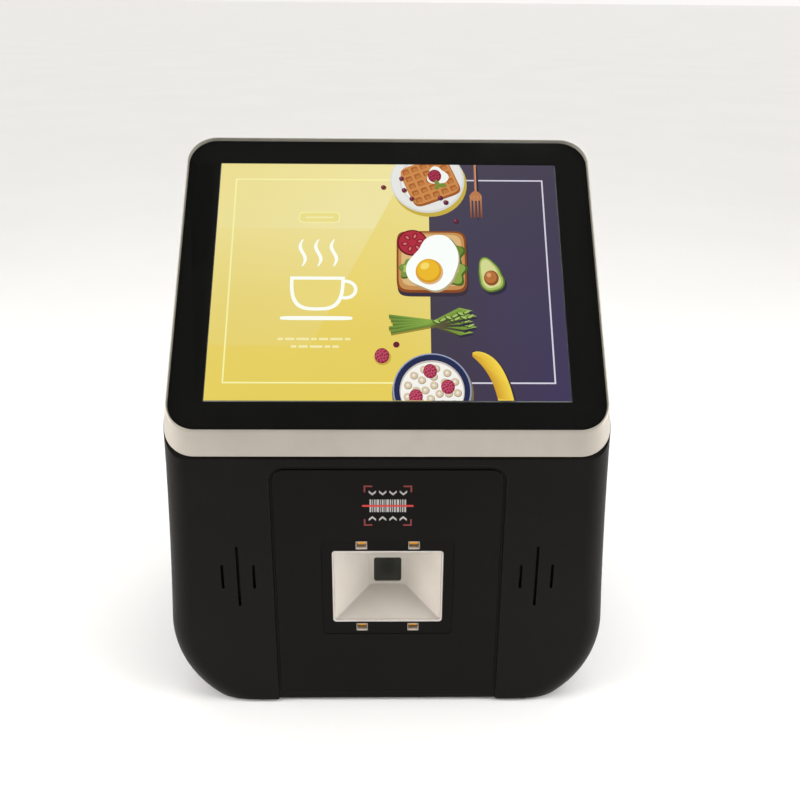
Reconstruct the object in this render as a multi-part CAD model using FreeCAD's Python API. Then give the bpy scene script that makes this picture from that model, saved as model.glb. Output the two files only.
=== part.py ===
import FreeCAD, Part
import math
import os

from FreeCAD import Vector

# Self checkout kiosk for a shop counter: a sloped touch screen on a wedge body with a
# barcode scanner and two speakers in its front.
# Frame: origin at the bottom centre, +X to the customer's right, +Y to the back, +Z up.
# All sizes are millimetres.

os.makedirs("parts", exist_ok=True)

# ---------------------------------------------------------------- driving dimensions

# Body
body_step = 0.2  # body beyond the underside of the display's bezel, at each side
body_flare = 5.4  # how far each side spreads below the display
flare_top = 224.0  # height where the sides start to spread
face_length = 181.0  # down the front, from the display's lip to the foot of the body
face_lean = 7.5  # degrees, the foot of the front stands forward of its top
rear_lean = 0.65  # degrees, the back leans in towards the top
corner_start = 55.0  # height where the flare ends and the round corner begins
corner_radius = 65.0  # big round corners at the foot, seen from the front
corner_turn = 72.0  # degrees of that round corner before it runs on straight
edge_radius = 14.0  # soft vertical edges of the body
wall = 2.5
foot_height = 2.0  # gap under the body's walls
cover_depth = 31.9  # rear cover, from front to back
seam_gap = 0.2

# Display head
screen_tilt = 45.0  # degrees above level
active_width = 211.2
active_height = 158.4
glass_side = 20.3  # glass beyond the picture, at each side
glass_top = 17.1
glass_bottom = 18.2
glass_thickness = 2.8
glass_radius = 17.0
lip_width = 0.6  # bezel rim beside the glass
lip_foot = 1.6  # bezel rim below the glass
lip_head = 0.8  # bezel rim above it
band_thickness = 9.25  # square to the glass
band_flare = 1.9  # how much wider the bezel is at its underside
shadow_gap = 0.7  # between bezel and body
print_thickness = 0.2
tape_thickness = 0.4
module_side = 12.4  # display module beyond the picture, at each side
module_ends = 9.2
module_thickness = 5.6
bracket_thickness = 1.2
bracket_margin = 1.6  # inside the bezel's spigot
spigot_depth = 4.75
spigot_wall = 1.6

# Fits
fit_gap = 0.3  # between pieces that are put together
snug_gap = 0.1  # where a piece is located by another

# Scanner panel in the front face; "down" is measured along the face from the display's lip
panel_half_width = 67.0
panel_top = 22.7
panel_foot = 4.8  # front face left below the panel
panel_radius = 7.5
recess_margin = 2.7  # border of the shallow recess round the panel
recess_round = 1.5  # part of it that is rounded
recess_depth = 1.5
panel_sink = 0.45  # panel face below the front face
panel_thickness = 2.5
flange_lap = 4.0
flange_thickness = 1.5
scan_middle = 99.85  # down the face, middle of the scanner's opening
frame_half_width = 39.5
frame_top = 68.9
frame_bottom = 132.6
frame_radius = 3.0
frame_sink = 0.3
opening_half_width = 33.2
opening_half_height = 24.35
opening_radius = 2.0
funnel_depth = 22.0  # from the face to the camera's window
funnel_half_width = 11.7
funnel_half_height = 10.2
funnel_wall = 1.2
funnel_end = 0.8  # its end wall round the camera
sleeve_wall = 0.7  # pale rim round the scanner's window
sleeve_sink = 0.2
pane_thickness = 1.2
camera_half_width = 8.6
camera_half_height = 8.4
camera_radius = 1.6
led_window_width = 7.0
led_window_height = 5.6
led_spacing = 31.2
well_wall = 0.45  # white lining of the lamp windows
well_sink = 0.3
speaker_place = 89.2  # from the middle
speaker_middle = 92.3  # down the face
slot_width = 1.7
slot_pitch = 9.4
slot_long = 40.4
slot_short = 16.1

# Printed scan symbol
symbol_middle = 45.5
symbol_half_width = 14.0
symbol_half_height = 12.9
symbol_line = 0.95
symbol_arm = 5.0
ink = 0.08
mark_pitch = 6.0  # small marks above and below the bars
mark_row = 8.2

# Base, board and ports
plate_thickness = 1.5
plate_sink = 0.8  # base plate above the foot of the walls
base_screw_place = 86.0  # from the middle
base_screw_inset = 9.0  # inside the front and rear walls
foot_radius = 9.0
foot_place_x = 66.0
foot_place_y = 58.0
fixing_spacing = 75.0
fixing_radius = 2.0
board_half_width = 76.0
board_gap = 3.0  # between the main board and the port plate
board_depth = 114.0
board_thickness = 1.6
board_lift = 6.0
port_plate_thickness = 0.8
port_window_left = -62.0
port_window_right = 60.0
port_window_gap = 0.7  # under the ports
port_window_height = 20.3
button_x = -36.0
button_z = 18.5
button_radius = 3.6
button_travel = 1.2
stem_radius = 1.5
stem_gap = 0.3

# Screws
screw_radius = 1.5
screw_head_radius = 2.8
screw_head_height = 1.8
thread_radius = 1.5

# ---------------------------------------------------------------- derived places

tilt = math.radians(screen_tilt)
lean = math.radians(face_lean)
back_lean = math.radians(rear_lean)
lip_low = glass_bottom + lip_foot  # rim below the picture's lower edge
lip_high = glass_top + lip_head
slope_length = lip_low + active_height + lip_high
lip_half_width = active_width / 2 + glass_side + lip_width
body_half_width = lip_half_width + band_flare + body_step
spigot_inside = body_half_width - wall - fit_gap - spigot_wall
lip_radius = glass_radius + lip_width
panel_bottom = face_length - panel_foot
band_run = band_thickness * math.tan(tilt + lean)  # the front of the bezel follows the face
rear_run = slope_length + band_flare
rear_top_y = rear_run * math.cos(tilt) + band_thickness * math.sin(tilt)
rear_top_z = rear_run * math.sin(tilt) - band_thickness * math.cos(tilt)
face_drop = face_length * math.cos(lean)
face_toe = face_length * math.sin(lean)
rear_foot_y = rear_top_y + (rear_top_z + face_drop) * math.tan(back_lean)
body_depth = rear_foot_y + face_toe
seam_y = body_depth / 2 - cover_depth  # where the front shell meets the rear cover
lip_y = face_toe - body_depth / 2
lip_z = foot_height + face_drop
lip_point = Vector(0, lip_y, lip_z)  # lower front edge of the display's rim
picture_point = lip_point + Vector(0, lip_low * math.cos(tilt), lip_low * math.sin(tilt))
spread = 400.0  # larger than anything in the kiosk
upward = Vector(0, 0, 1)
backward = Vector(0, 1, 0)


# ---------------------------------------------------------------- helpers


def save(name, *solids):
    """Writes one piece, or a group of like pieces, as parts/NAME.step."""
    shape = solids[0] if len(solids) == 1 else Part.makeCompound(list(solids))
    shape.exportStep(f"parts/{name}.step")


def single(shape):
    """The one solid of a shape, or the shape itself if it has several."""
    return shape.Solids[0] if len(shape.Solids) == 1 else shape


def joined(*shapes):
    """Shapes fused to one solid, with the seams between flush faces removed."""
    whole = shapes[0]
    for shape in shapes[1:]:
        whole = whole.fuse(shape)
    return single(whole.removeSplitter())


def box(x0, x1, y0, y1, z0, z1):
    return Part.makeBox(x1 - x0, y1 - y0, z1 - z0, Vector(x0, y0, z0))


def rod(radius, start, end):
    """A cylinder between two points."""
    along = end - start
    return Part.makeCylinder(radius, along.Length, start, along)


def rounded(x0, x1, y0, y1, radius, z0, z1):
    """A flat block with rounded corners, in its own flat frame."""
    block = box(x0, x1, y0, y1, z0, z1)
    radius = min(radius, (x1 - x0) / 2.001, (y1 - y0) / 2.001)
    corners = [e for e in block.Edges if abs(e.tangentAt(e.FirstParameter).z) > 0.99]
    return block.makeFillet(radius, corners)


def outline(x0, x1, y0, y1, radius, z):
    """The rim of such a block at one level, as a wire."""
    block = rounded(x0, x1, y0, y1, radius, z - 1.0, z)
    top = [f for f in block.Faces if abs(f.CenterOfMass.z - z) < 1e-6][0]
    return top.OuterWire


def moved_to(shape, point, turn):
    copy = shape.copy()
    copy.Placement = FreeCAD.Placement(point, turn).multiply(copy.Placement)
    return copy


def slope(shape):
    """From a flat frame (x, up the slope from the picture, above the glass) into place."""
    return moved_to(shape, picture_point, FreeCAD.Rotation(Vector(1, 0, 0), screen_tilt))


def face(shape):
    """From a flat frame (x, minus the way down the face, out of the face) into place."""
    return moved_to(shape, lip_point, FreeCAD.Rotation(Vector(1, 0, 0), 90.0 - face_lean))


def face_block(half_width, down0, down1, radius, out0, out1, middle=0.0):
    """A rounded block on the front face; out is measured outwards from the face."""
    left = middle - half_width
    right = middle + half_width
    return face(rounded(left, right, -down1, -down0, radius, out0, out1))


def face_rod(radius, x, down, out0, out1):
    return face(rod(radius, Vector(x, -down, out0), Vector(x, -down, out1)))


def slope_block(half_width, up0, up1, radius, above0, above1):
    return slope(rounded(-half_width, half_width, up0, up1, radius, above0, above1))


def screw(length, head_radius=screw_head_radius, shank=screw_radius):
    """A pan head screw: head above z = 0, shank below, with a cross recess in the head."""
    head = Part.makeCylinder(head_radius, screw_head_height)
    rim = [e for e in head.Edges if e.BoundBox.ZMin > screw_head_height - 1e-6]
    head = head.makeFillet(screw_head_height * 0.45, rim[:1])
    body = head.fuse(rod(shank, Vector(0, 0, 0.1), Vector(0, 0, -length)))
    arm = head_radius * 0.55
    blade = head_radius * 0.13
    low = screw_head_height * 0.4
    cross = box(-arm, arm, -blade, blade, low, 9).fuse(box(-blade, blade, -arm, arm, low, 9))
    return single(body.cut(cross))


def set_screw(length, point, direction, **sizes):
    """A screw whose head's underside sits at point, with the head towards direction."""
    return moved_to(screw(length, **sizes), point, FreeCAD.Rotation(upward, direction))


# ---------------------------------------------------------------- body envelope


def front_outline(inset):
    """The body seen from the front: plumb sides, a slight flare and big round corners."""
    side = body_half_width - inset
    drop = flare_top - corner_start
    flare_radius = (drop * drop + body_flare * body_flare) / (2 * body_flare)
    angle = math.asin(drop / flare_radius)
    flare_centre = Vector(body_half_width + flare_radius, 0, flare_top)
    reach = flare_radius + inset

    def on_flare(turn):
        return flare_centre + Vector(-reach * math.cos(turn), 0, -reach * math.sin(turn))

    normal = Vector(math.cos(angle), 0, math.sin(angle))
    radius = corner_radius - inset
    corner_centre = on_flare(angle) - normal * radius

    def on_corner(turn):
        return corner_centre + Vector(radius * math.cos(turn), 0, radius * math.sin(turn))

    end = -math.radians(corner_turn)
    top = Vector(side, 0, flare_top + spread)
    knee = on_corner(end)
    keel = Vector(0, 0, knee.z - knee.x / math.tan(-end))
    half = [
        Part.LineSegment(top, on_flare(0)).toShape(),
        Part.Arc(on_flare(0), on_flare(angle / 2), on_flare(angle)).toShape(),
        Part.Arc(on_corner(angle), on_corner((angle + end) / 2), knee).toShape(),
        Part.LineSegment(knee, keel).toShape(),
    ]
    other = [edge.mirror(Vector(0, 0, 0), Vector(1, 0, 0)) for edge in half]
    lid = Part.LineSegment(top, Vector(-top.x, 0, top.z)).toShape()
    edges = Part.sortEdges(half + other + [lid])[0]
    return Part.Face(Part.Wire(edges))


def side_prism(inset, low, high):
    """The body seen from the side, between two levels, front and back leaning."""

    def front_y(z):
        return lip_y + (z - lip_z) * math.tan(lean) + inset / math.cos(lean)

    def rear_y(z):
        foot_y = lip_y + rear_foot_y
        return foot_y - (z - foot_height) * math.tan(back_lean) - inset / math.cos(back_lean)

    corners = [
        Vector(0, front_y(low), low),
        Vector(0, rear_y(low), low),
        Vector(0, rear_y(high), high),
        Vector(0, front_y(high), high),
    ]
    side = Part.Face(Part.makePolygon(corners + corners[:1]))
    side.translate(Vector(-spread, 0, 0))
    return side.extrude(Vector(2 * spread, 0, 0))


def envelope(inset):
    """The body's outside moved inwards by inset, still open at its top and foot."""
    high = flare_top + spread
    block = front_outline(inset)
    block.translate(Vector(0, -spread, 0))
    block = block.extrude(Vector(0, 2 * spread, 0))
    block = block.common(side_prism(inset, -spread, high - 10.0))
    soft = []
    for edge in block.Edges:
        ends = [v.Point for v in edge.Vertexes]
        flat = abs(ends[0].z - (high - 10.0)) < 1e-3 and abs(ends[1].z - ends[0].z) < 1e-3
        middle = edge.valueAt((edge.FirstParameter + edge.LastParameter) / 2)
        plumb = abs(edge.tangentAt((edge.FirstParameter + edge.LastParameter) / 2).y) < 0.9
        if not flat and plumb and abs(middle.x) > 1.0:
            soft.append(edge)
    return block.makeFillet(edge_radius - inset, soft)


def below_slope(depth):
    """A block that fills everything lower than depth under the glass plane."""
    return slope(box(-spread, spread, -spread, spread, -2 * spread, -depth))


body_outside = envelope(0.0)
body_inside = envelope(wall)
body_top = band_thickness + shadow_gap
above_foot = box(-spread, spread, -spread, spread, foot_height, 2 * spread)


# ---------------------------------------------------------------- display head


def display_bezel():
    """Painted rim that holds the glass, with a spigot that drops inside the body."""
    up0 = -lip_low
    up1 = active_height + lip_high
    under_half = lip_half_width + band_flare
    top_rim = outline(-lip_half_width, lip_half_width, up0, up1, lip_radius, 0.0)
    under_rim = outline(
        -under_half, under_half, up0 - band_run, up1 + band_flare,
        lip_radius + band_flare / 2, -band_thickness,
    )
    ring = slope(Part.makeLoft([under_rim, top_rim], True, True))
    glass_half = active_width / 2 + glass_side + snug_gap
    pocket = glass_thickness + print_thickness + tape_thickness
    seat = slope_block(
        glass_half, -glass_bottom - snug_gap, active_height + glass_top + snug_gap,
        glass_radius + snug_gap, -pocket, 5.0,
    )
    window_half = active_width / 2 + module_side + 2 * fit_gap
    window = slope_block(
        window_half, -module_ends - 2 * fit_gap, active_height + module_ends + 2 * fit_gap,
        2.0, -60.0, 5.0,
    )
    skirt = envelope(wall + fit_gap).cut(envelope(wall + fit_gap + spigot_wall))
    skirt = skirt.common(below_slope(band_thickness - 0.5))
    skirt = skirt.cut(below_slope(band_thickness + spigot_depth))
    ring = ring.fuse(skirt.common(below_slope(band_thickness - 0.5)))
    ring = ring.cut(seat).cut(window)
    for point in bracket_screw_places():
        ring = ring.cut(slope(rod(
            thread_radius - 0.25, point, point + Vector(0, 0, band_thickness - pocket - 1.2),
        )))
    return single(ring.removeSplitter())


def bracket_screw_places():
    """Screw places under the bezel, in the slope's flat frame."""
    side = spigot_inside - screw_head_radius
    places = []
    for x in (-side, side):
        for share in (0.08, 0.5, 0.92):
            places.append(Vector(x, active_height * share, -band_thickness))
    return places


def display_stack():
    """Cover glass, its printed border, the tape under it, the display module, its bracket."""
    half = active_width / 2
    glass_half = half + glass_side
    high = active_height + glass_top
    glass = slope_block(glass_half, -glass_bottom, high, glass_radius, -glass_thickness, 0.0)
    save("cover_glass", glass)

    level = -glass_thickness
    inner = slope_block(half + 0.5, -0.5, active_height + 0.5, 0.5, -20.0, 5.0)
    border = slope_block(
        glass_half - 0.2, -glass_bottom + 0.2, high - 0.2, glass_radius - 0.2,
        level - print_thickness, level,
    )
    save("glass_border", single(border.cut(inner)))

    level -= print_thickness
    window_half = half + module_side + 2 * fit_gap
    hole = slope_block(
        window_half + 0.3, -module_ends - 3 * fit_gap, active_height + module_ends + 3 * fit_gap,
        4.0, -20.0, 5.0,
    )
    tape = slope_block(
        glass_half - 0.8, -glass_bottom + 0.8, high - 0.8, glass_radius - 0.8,
        level - tape_thickness, level,
    )
    save("glass_tape", single(tape.cut(hole)))

    bracket_top = -band_thickness
    module = slope_block(
        half + module_side, -module_ends, active_height + module_ends, 1.5,
        bracket_top + 0.15, bracket_top + 0.15 + module_thickness,
    )
    save("display_module", module)

    bracket = slope_block(
        spigot_inside - bracket_margin, -module_ends - 1.0, active_height + module_ends + 1.0,
        0.6 * edge_radius,
        bracket_top - bracket_thickness, bracket_top,
    )
    for x in (-half / 2, half / 2):
        for share in (0.27, 0.73):
            cutout = rounded(
                x - half * 0.36, x + half * 0.36, active_height * (share - 0.17),
                active_height * (share + 0.17), 8.0, bracket_top - 5.0, bracket_top + 5.0,
            )
            bracket = bracket.cut(slope(cutout))
    screws = []
    turn = FreeCAD.Rotation(Vector(1, 0, 0), screen_tilt)
    down = turn.multVec(Vector(0, 0, -1))
    for point in bracket_screw_places():
        bracket = bracket.cut(slope(rod(screw_radius + 0.1, point - upward * 5, point + upward)))
        seat = picture_point + turn.multVec(point - upward * bracket_thickness)
        screws.append(set_screw(bracket_thickness + 2.6, seat, down, shank=thread_radius - 0.25))
    save("display_bracket", single(bracket))
    save("bracket_screws", *screws)

    touch_board = rounded(-28.0, 28.0, 68.0, 90.0, 1.0, -1.2, 0.0)
    touch_board.translate(Vector(0, 0, bracket_top - bracket_thickness))
    chip = rounded(-24.0, -12.0, 73.0, 85.0, 0.5, -1.2, 0.0)
    chip.translate(Vector(0, 0, bracket_top - bracket_thickness - 1.2))
    socket = rounded(ribbon_x - 14.0, ribbon_x + 14.0, 69.5, 74.5, 0.5, -2.4, 0.0)
    socket.translate(Vector(0, 0, bracket_top - bracket_thickness - 1.2))
    save("touch_board", slope(joined(touch_board, chip, socket)))




# ---------------------------------------------------------------- shells


def cover_screw_places():
    """Middles of the four screws that hold the rear cover, as x and z."""
    side = body_half_width - wall - 4.2
    high = lip_z + (seam_y - lip_y) * math.tan(tilt) - band_thickness / math.cos(tilt) - 34.0
    return [(x, z) for x in (-side, side) for z in (flare_top - 76.0, high)]


def base_screw_places():
    """Middles of the four base plate screws, as x and y."""
    front = lip_y - face_toe + wall + base_screw_inset
    rear = lip_y + rear_foot_y - wall - base_screw_inset
    return [(x, y) for x in (-base_screw_place, base_screw_place) for y in (front, rear)]


plate_low = foot_height + plate_sink
plate_high = plate_low + plate_thickness


def base_bosses(front):
    """Posts that take the base plate's screws, each with a rib out to the wall."""
    posts = None
    for x, y in base_screw_places():
        if (y < 0) != front:
            continue
        reach = -12.0 if front else 12.0
        low, high = sorted((y, y + reach))
        post = rod(4.5, Vector(x, y, plate_high), Vector(x, y, plate_high + 14.0))
        rib = box(x - 1.5, x + 1.5, low, high, plate_high, plate_high + 14.0)
        post = post.fuse(rib)
        posts = post if posts is None else posts.fuse(post)
    return posts.common(envelope(wall * 0.5))


def base_boss_holes():
    holes = None
    for x, y in base_screw_places():
        hole = rod(thread_radius - 0.25, Vector(x, y, plate_high - 1), Vector(x, y, plate_high + 10))
        holes = hole if holes is None else holes.fuse(hole)
    return holes


def speaker_slots():
    """Three upright slots with round ends in front of each speaker."""
    cutter = None
    for side in (-1, 1):
        for step in (-1, 0, 1):
            length = slot_long if step == 0 else slot_short
            middle = side * speaker_place + step * slot_pitch
            slot = face_block(
                slot_width / 2, speaker_middle - length / 2, speaker_middle + length / 2,
                slot_width / 2, -10.0, 5.0, middle,
            )
            cutter = slot if cutter is None else cutter.fuse(slot)
    return cutter


def fascia_screw_places():
    """Screw places beside the scanner panel, as x and the way down the face."""
    side = panel_half_width + flange_lap + 5.0
    return [(x, down) for x in (-side, side) for down in (panel_top + 9, panel_bottom - 24)]


def speaker_screw_places():
    reach = slot_long / 2 + 5.3
    return [
        (side * speaker_place, speaker_middle + step * reach) for side in (-1, 1) for step in (-1, 1)
    ]


def recess_profile():
    """Level and distance from the panel of each line down the recess's rounded border."""
    lines = [(0.2, recess_margin + 0.2)]
    for step in range(5):
        turn = math.radians(90.0 * step / 4)
        lines.append((-recess_depth * (1 - math.cos(turn)), recess_margin - recess_round * math.sin(turn)))
    return lines


def front_shell():
    """Front, sides and round corners of the body, moulded in one piece."""
    shell = body_outside.common(below_slope(body_top)).common(above_foot).cut(body_inside)
    shell = shell.common(box(-spread, spread, -spread, seam_y, -spread, spread))

    # Shallow recess with a rounded border, open at the foot, and the panel's hole in its floor
    rims = []
    for out, margin in recess_profile():
        rims.append(outline(
            -(panel_half_width + margin), panel_half_width + margin,
            -(face_length + 60.0), -(panel_top - margin), panel_radius + margin, out,
        ))
    shell = shell.cut(face(Part.makeLoft(rims[::-1], True, True)))
    hole = face_block(panel_half_width, panel_top, panel_bottom, panel_radius, -10.0, 5.0)
    shell = shell.cut(hole).cut(speaker_slots())

    # Posts for the panel's screws, the speakers' screws and the base plate's screws
    for x, down in fascia_screw_places():
        shell = shell.fuse(face_rod(3.0, x, down, -wall - flange_thickness - 0.1, -wall + 0.5))
        shell = shell.cut(face_rod(1.1, x, down, -wall - 5.0, -wall + 0.9))
    for x, down in speaker_screw_places():
        shell = shell.fuse(face_rod(3.0, x, down, -wall - 2.5, -wall + 0.5))
        shell = shell.cut(face_rod(1.1, x, down, -wall - 5.0, -wall + 0.9))
    shell = shell.fuse(base_bosses(True)).cut(base_boss_holes())

    # Posts at the seam that the rear cover's screws pull against
    for x, z in cover_screw_places():
        post = rod(4.5, Vector(x, seam_y - 14.0, z), Vector(x, seam_y - 0.6, z))
        outward = box(min(x, x * 1.06), max(x, x * 1.06), seam_y - 14.0, seam_y - 0.6, z - 3, z + 3)
        shell = shell.fuse(post.fuse(outward).common(envelope(wall * 0.5)))
        shell = shell.cut(rod(thread_radius - 0.25, Vector(x, seam_y - 11, z), Vector(x, seam_y, z)))
    return single(shell.removeSplitter())


def rear_inner_y(z):
    """Inside of the rear wall at a height."""
    return lip_y + rear_foot_y - (z - foot_height) * math.tan(back_lean) - wall


def vent_slots():
    """Two rows of upright vents over the main board and two more high up."""
    cutter = None
    count = 13
    pitch = 8.0
    width = 3.0
    for low, high in ((52.0, 80.0), (flare_top + 40.0, flare_top + 68.0)):
        for i in range(count):
            x = (i - (count - 1) / 2) * pitch
            slot = rounded(x - width / 2, x + width / 2, low, high, width / 2, 0.0, 60.0)
            slot = moved_to(slot, Vector(0, seam_y + 60.0, 0), FreeCAD.Rotation(Vector(1, 0, 0), 90))
            cutter = slot if cutter is None else cutter.fuse(slot)
    return cutter


def rear_cover():
    """Back of the body, with screw wells, vents, the ports' window and a rim at the seam."""
    start = seam_y + seam_gap
    cover = body_outside.common(below_slope(body_top)).common(above_foot).cut(body_inside)
    cover = cover.common(box(-spread, spread, start, spread, -spread, spread))
    rim = envelope(wall + fit_gap / 2).cut(envelope(wall + fit_gap / 2 + 1.5))
    rim = rim.common(box(-spread, spread, seam_y - 4.0, start + 3.0, plate_high + 1.0, 2 * spread))
    rim = rim.common(below_slope(body_top + spigot_depth + 1.0))
    bridge = envelope(wall * 0.5).cut(envelope(wall + fit_gap / 2 + 1.5))
    bridge = bridge.common(box(-spread, spread, start, start + 3.0, plate_high + 1.0, 2 * spread))
    bridge = bridge.common(below_slope(body_top + spigot_depth + 1.0))
    cover = cover.fuse(rim).fuse(bridge)
    for x, z in cover_screw_places():
        cover = cover.cut(rod(5.2, Vector(x, seam_y - 20, z), Vector(x, seam_y - 0.2, z)))
        low, high = sorted((x, x * 1.1))
        cover = cover.cut(box(low, high, seam_y - 20, seam_y - 0.2, z - 3.6, z + 3.6))
        well = rod(5.8, Vector(x, start, z), Vector(x, rear_inner_y(z) + wall / 2, z))
        outward = box(
            min(x, x * 1.06), max(x, x * 1.06), start, rear_inner_y(z) + wall / 2, z - 4, z + 4,
        )
        cover = cover.fuse(well.fuse(outward).common(envelope(wall * 0.5)))
        cover = cover.cut(rod(3.6, Vector(x, start + 3.0, z), Vector(x, spread, z)))
        cover = cover.cut(rod(screw_radius + 0.2, Vector(x, seam_y - 1, z), Vector(x, start + 5, z)))
    cover = cover.fuse(base_bosses(False)).cut(base_boss_holes())
    cover = cover.cut(vent_slots())
    window = rounded(
        port_window_left, port_window_right, port_window_low, port_window_high, 1.5, 0.0, 60.0,
    )
    turn = FreeCAD.Rotation(Vector(1, 0, 0), 90)
    cover = cover.cut(moved_to(window, Vector(0, seam_y + 70.0, 0), turn))
    return single(cover.removeSplitter())


def cover_screws():
    start = seam_y + seam_gap
    return [
        set_screw(11.0, Vector(x, start + 3.0, z), backward, shank=thread_radius - 0.25)
        for x, z in cover_screw_places()
    ]


# ---------------------------------------------------------------- base


def fixing_places():
    half = fixing_spacing / 2
    return [(x, y) for x in (-half, half) for y in (-half, half)]


def foot_places():
    return [
        (x, y) for x in (-foot_place_x, foot_place_x) for y in (-foot_place_y, foot_place_y)
    ]


def standoff_places():
    rear = board_front + board_depth
    side = board_half_width - 5.0
    return [(x, y) for x in (-side, side) for y in (board_front + 5.0, rear - 14.0)]


def base_pieces():
    """Steel base plate with its screws, feet, counter fixing nuts and board standoffs."""
    plate = envelope(wall + fit_gap)
    plate = plate.common(box(-spread, spread, -spread, spread, plate_low, plate_high))
    for x, y in base_screw_places():
        plate = plate.cut(rod(screw_radius + 0.2, Vector(x, y, 0), Vector(x, y, 10)))
    for x, y in fixing_places():
        plate = plate.cut(rod(fixing_radius, Vector(x, y, 0), Vector(x, y, 10)))
    save("base_plate", single(plate))

    screws = [
        set_screw(plate_thickness + 8.0, Vector(x, y, plate_low), upward * -1, head_radius=3.0,
                  shank=thread_radius - 0.25)
        for x, y in base_screw_places()
    ]
    save("base_screws", *screws)

    feet = []
    for x, y in foot_places():
        foot = Part.makeCylinder(foot_radius, plate_low, Vector(x, y, 0))
        rim = [e for e in foot.Edges if e.BoundBox.ZMax < 1e-6]
        feet.append(foot.makeFillet(0.8, rim[:1]))
    save("rubber_feet", *feet)

    nuts = []
    for x, y in fixing_places():
        nut = rod(3.9, Vector(x, y, plate_high), Vector(x, y, plate_high + 3.0))
        nuts.append(nut.cut(rod(fixing_radius, Vector(x, y, 0), Vector(x, y, 20))))
    save("fixing_nuts", *nuts)

    posts = []
    for x, y in standoff_places():
        post = Part.Face(Part.makePolygon([
            Vector(x + 3.2 * math.cos(math.radians(a)), y + 3.2 * math.sin(math.radians(a)), plate_high)
            for a in range(0, 361, 60)
        ])).extrude(Vector(0, 0, board_lift))
        posts.append(post.cut(rod(1.25, Vector(x, y, plate_high + 2), Vector(x, y, 60))))
    save("board_standoffs", *posts)


# ---------------------------------------------------------------- main board and ports

board_low = plate_high + board_lift
board_high = board_low + board_thickness
port_window_low = board_high - port_window_gap
port_window_high = port_window_low + port_window_height
port_plate_y = rear_inner_y(port_window_high + 4.0) - 0.2 - port_plate_thickness
board_rear = port_plate_y - board_gap
board_front = board_rear - board_depth
port_face_y = port_plate_y + port_plate_thickness + 2.0  # how far the ports reach out
heat_x = -34.0
heat_y = 8.0
heat_half = 24.0
chip_half = 17.0
chip_height = 1.5
switch_front = port_plate_y - 4.2


def main_board():
    board = box(-board_half_width, board_half_width, board_front, board_rear, board_low, board_high)
    for x, y in standoff_places():
        board = board.cut(rod(1.6, Vector(x, y, 0), Vector(x, y, 60)))
    save("main_board", single(board))

    screws = [
        set_screw(board_thickness + 3.5, Vector(x, y, board_high), upward, shank=1.25)
        for x, y in standoff_places()
    ]
    save("board_screws", *screws)

    chips = [box(heat_x - chip_half, heat_x + chip_half, heat_y - chip_half, heat_y + chip_half,
                 board_high, board_high + chip_height)]
    for i in range(2):
        chips.append(box(12.0 + 18 * i, 26.0 + 18 * i, -4.0, 8.0, board_high, board_high + 1.2))
    for i in range(4):
        x = -4.0 + 14.0 * i
        chips.append(rod(4.0, Vector(x, 44.0, board_high), Vector(x, 44.0, board_high + 8.0)))
    save("board_chips", *chips)

    sink_low = board_high + chip_height
    sink = box(heat_x - heat_half, heat_x + heat_half, heat_y - heat_half, heat_y + heat_half,
               sink_low, sink_low + 3.0)
    fins = 10
    pitch = (2 * heat_half - 1.5) / (fins - 1)
    for i in range(fins):
        x = heat_x - heat_half + i * pitch
        sink = sink.fuse(box(x, x + 1.5, heat_y - heat_half, heat_y + heat_half,
                             sink_low + 2.9, sink_low + 14.0))
    save("heat_sink", single(sink.removeSplitter()))

    plugs = [
        box(ribbon_x - 14.0, ribbon_x + 14.0, ribbon_y - 3.0, ribbon_y + 3.0, board_high, board_high + 4.0),
        box(scan_ribbon_x - 8, scan_ribbon_x + 8, scan_ribbon_y - 3, scan_ribbon_y + 3,
            board_high, board_high + 4.0),
    ]
    save("ribbon_sockets", *plugs)


def port_body(x, width, height, depth):
    """A port's case, standing on the board and reaching out through the port plate."""
    return box(x - width / 2, x + width / 2, port_face_y - depth, port_face_y,
               board_high, board_high + height)


def usb_port(x):
    """Two stacked sockets in a steel case, each with its tongue."""
    depth = 17.5
    case = port_body(x, usb_width, usb_height, depth)
    for level in (1.0, 8.4):
        low = board_high + level
        case = case.cut(box(
            x - usb_half_opening, x + usb_half_opening, port_face_y - 12.0, port_face_y + 1, low, low + 5.2,
        ))
        case = case.fuse(box(x - 5.4, x + 5.4, port_face_y - 12.5, port_face_y - 1.0, low + 2.9, low + 4.6))
    return single(case.removeSplitter())


usb_places = (27.0, 46.0)
usb_width = 13.2
usb_height = 15.6
usb_half_opening = 6.2
video_x = -16.0
video_width = 15.0
video_height = 6.2
inlet_x = -52.0
inlet_width = 9.2
inlet_height = 11.0
inlet_middle = 5.6  # above the board
inlet_bore = 2.9
inlet_pin = 1.0
tongue_gap = 1.5  # beside a socket's tongue
lan_x = 6.0
lan_width = 15.9
lan_height = 13.4
lan_depth = 21.0
lan_half_opening = 5.9
lan_low = 2.2
lan_high = 9.2
lan_reach = 13.0


def lan_port():
    """Network socket: a shielded case with a stepped opening and eight contact strips."""
    case = port_body(lan_x, lan_width, lan_height, lan_depth)
    low = board_high + lan_low
    high = board_high + lan_high
    front = port_face_y + 1
    case = case.cut(box(lan_x - lan_half_opening, lan_x + lan_half_opening,
                        port_face_y - lan_reach, front, low, high))
    case = case.cut(box(lan_x - 3.0, lan_x + 3.0, port_face_y - 9.0, front, high - 0.1, high + 1.6))
    for i in range(8):
        x = lan_x + (i - 3.5) * 1.02
        case = case.fuse(box(x - 0.25, x + 0.25, port_face_y - lan_reach, port_face_y - 3.0,
                             low - 0.1, low + 0.5))
    return single(case.removeSplitter())


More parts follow.
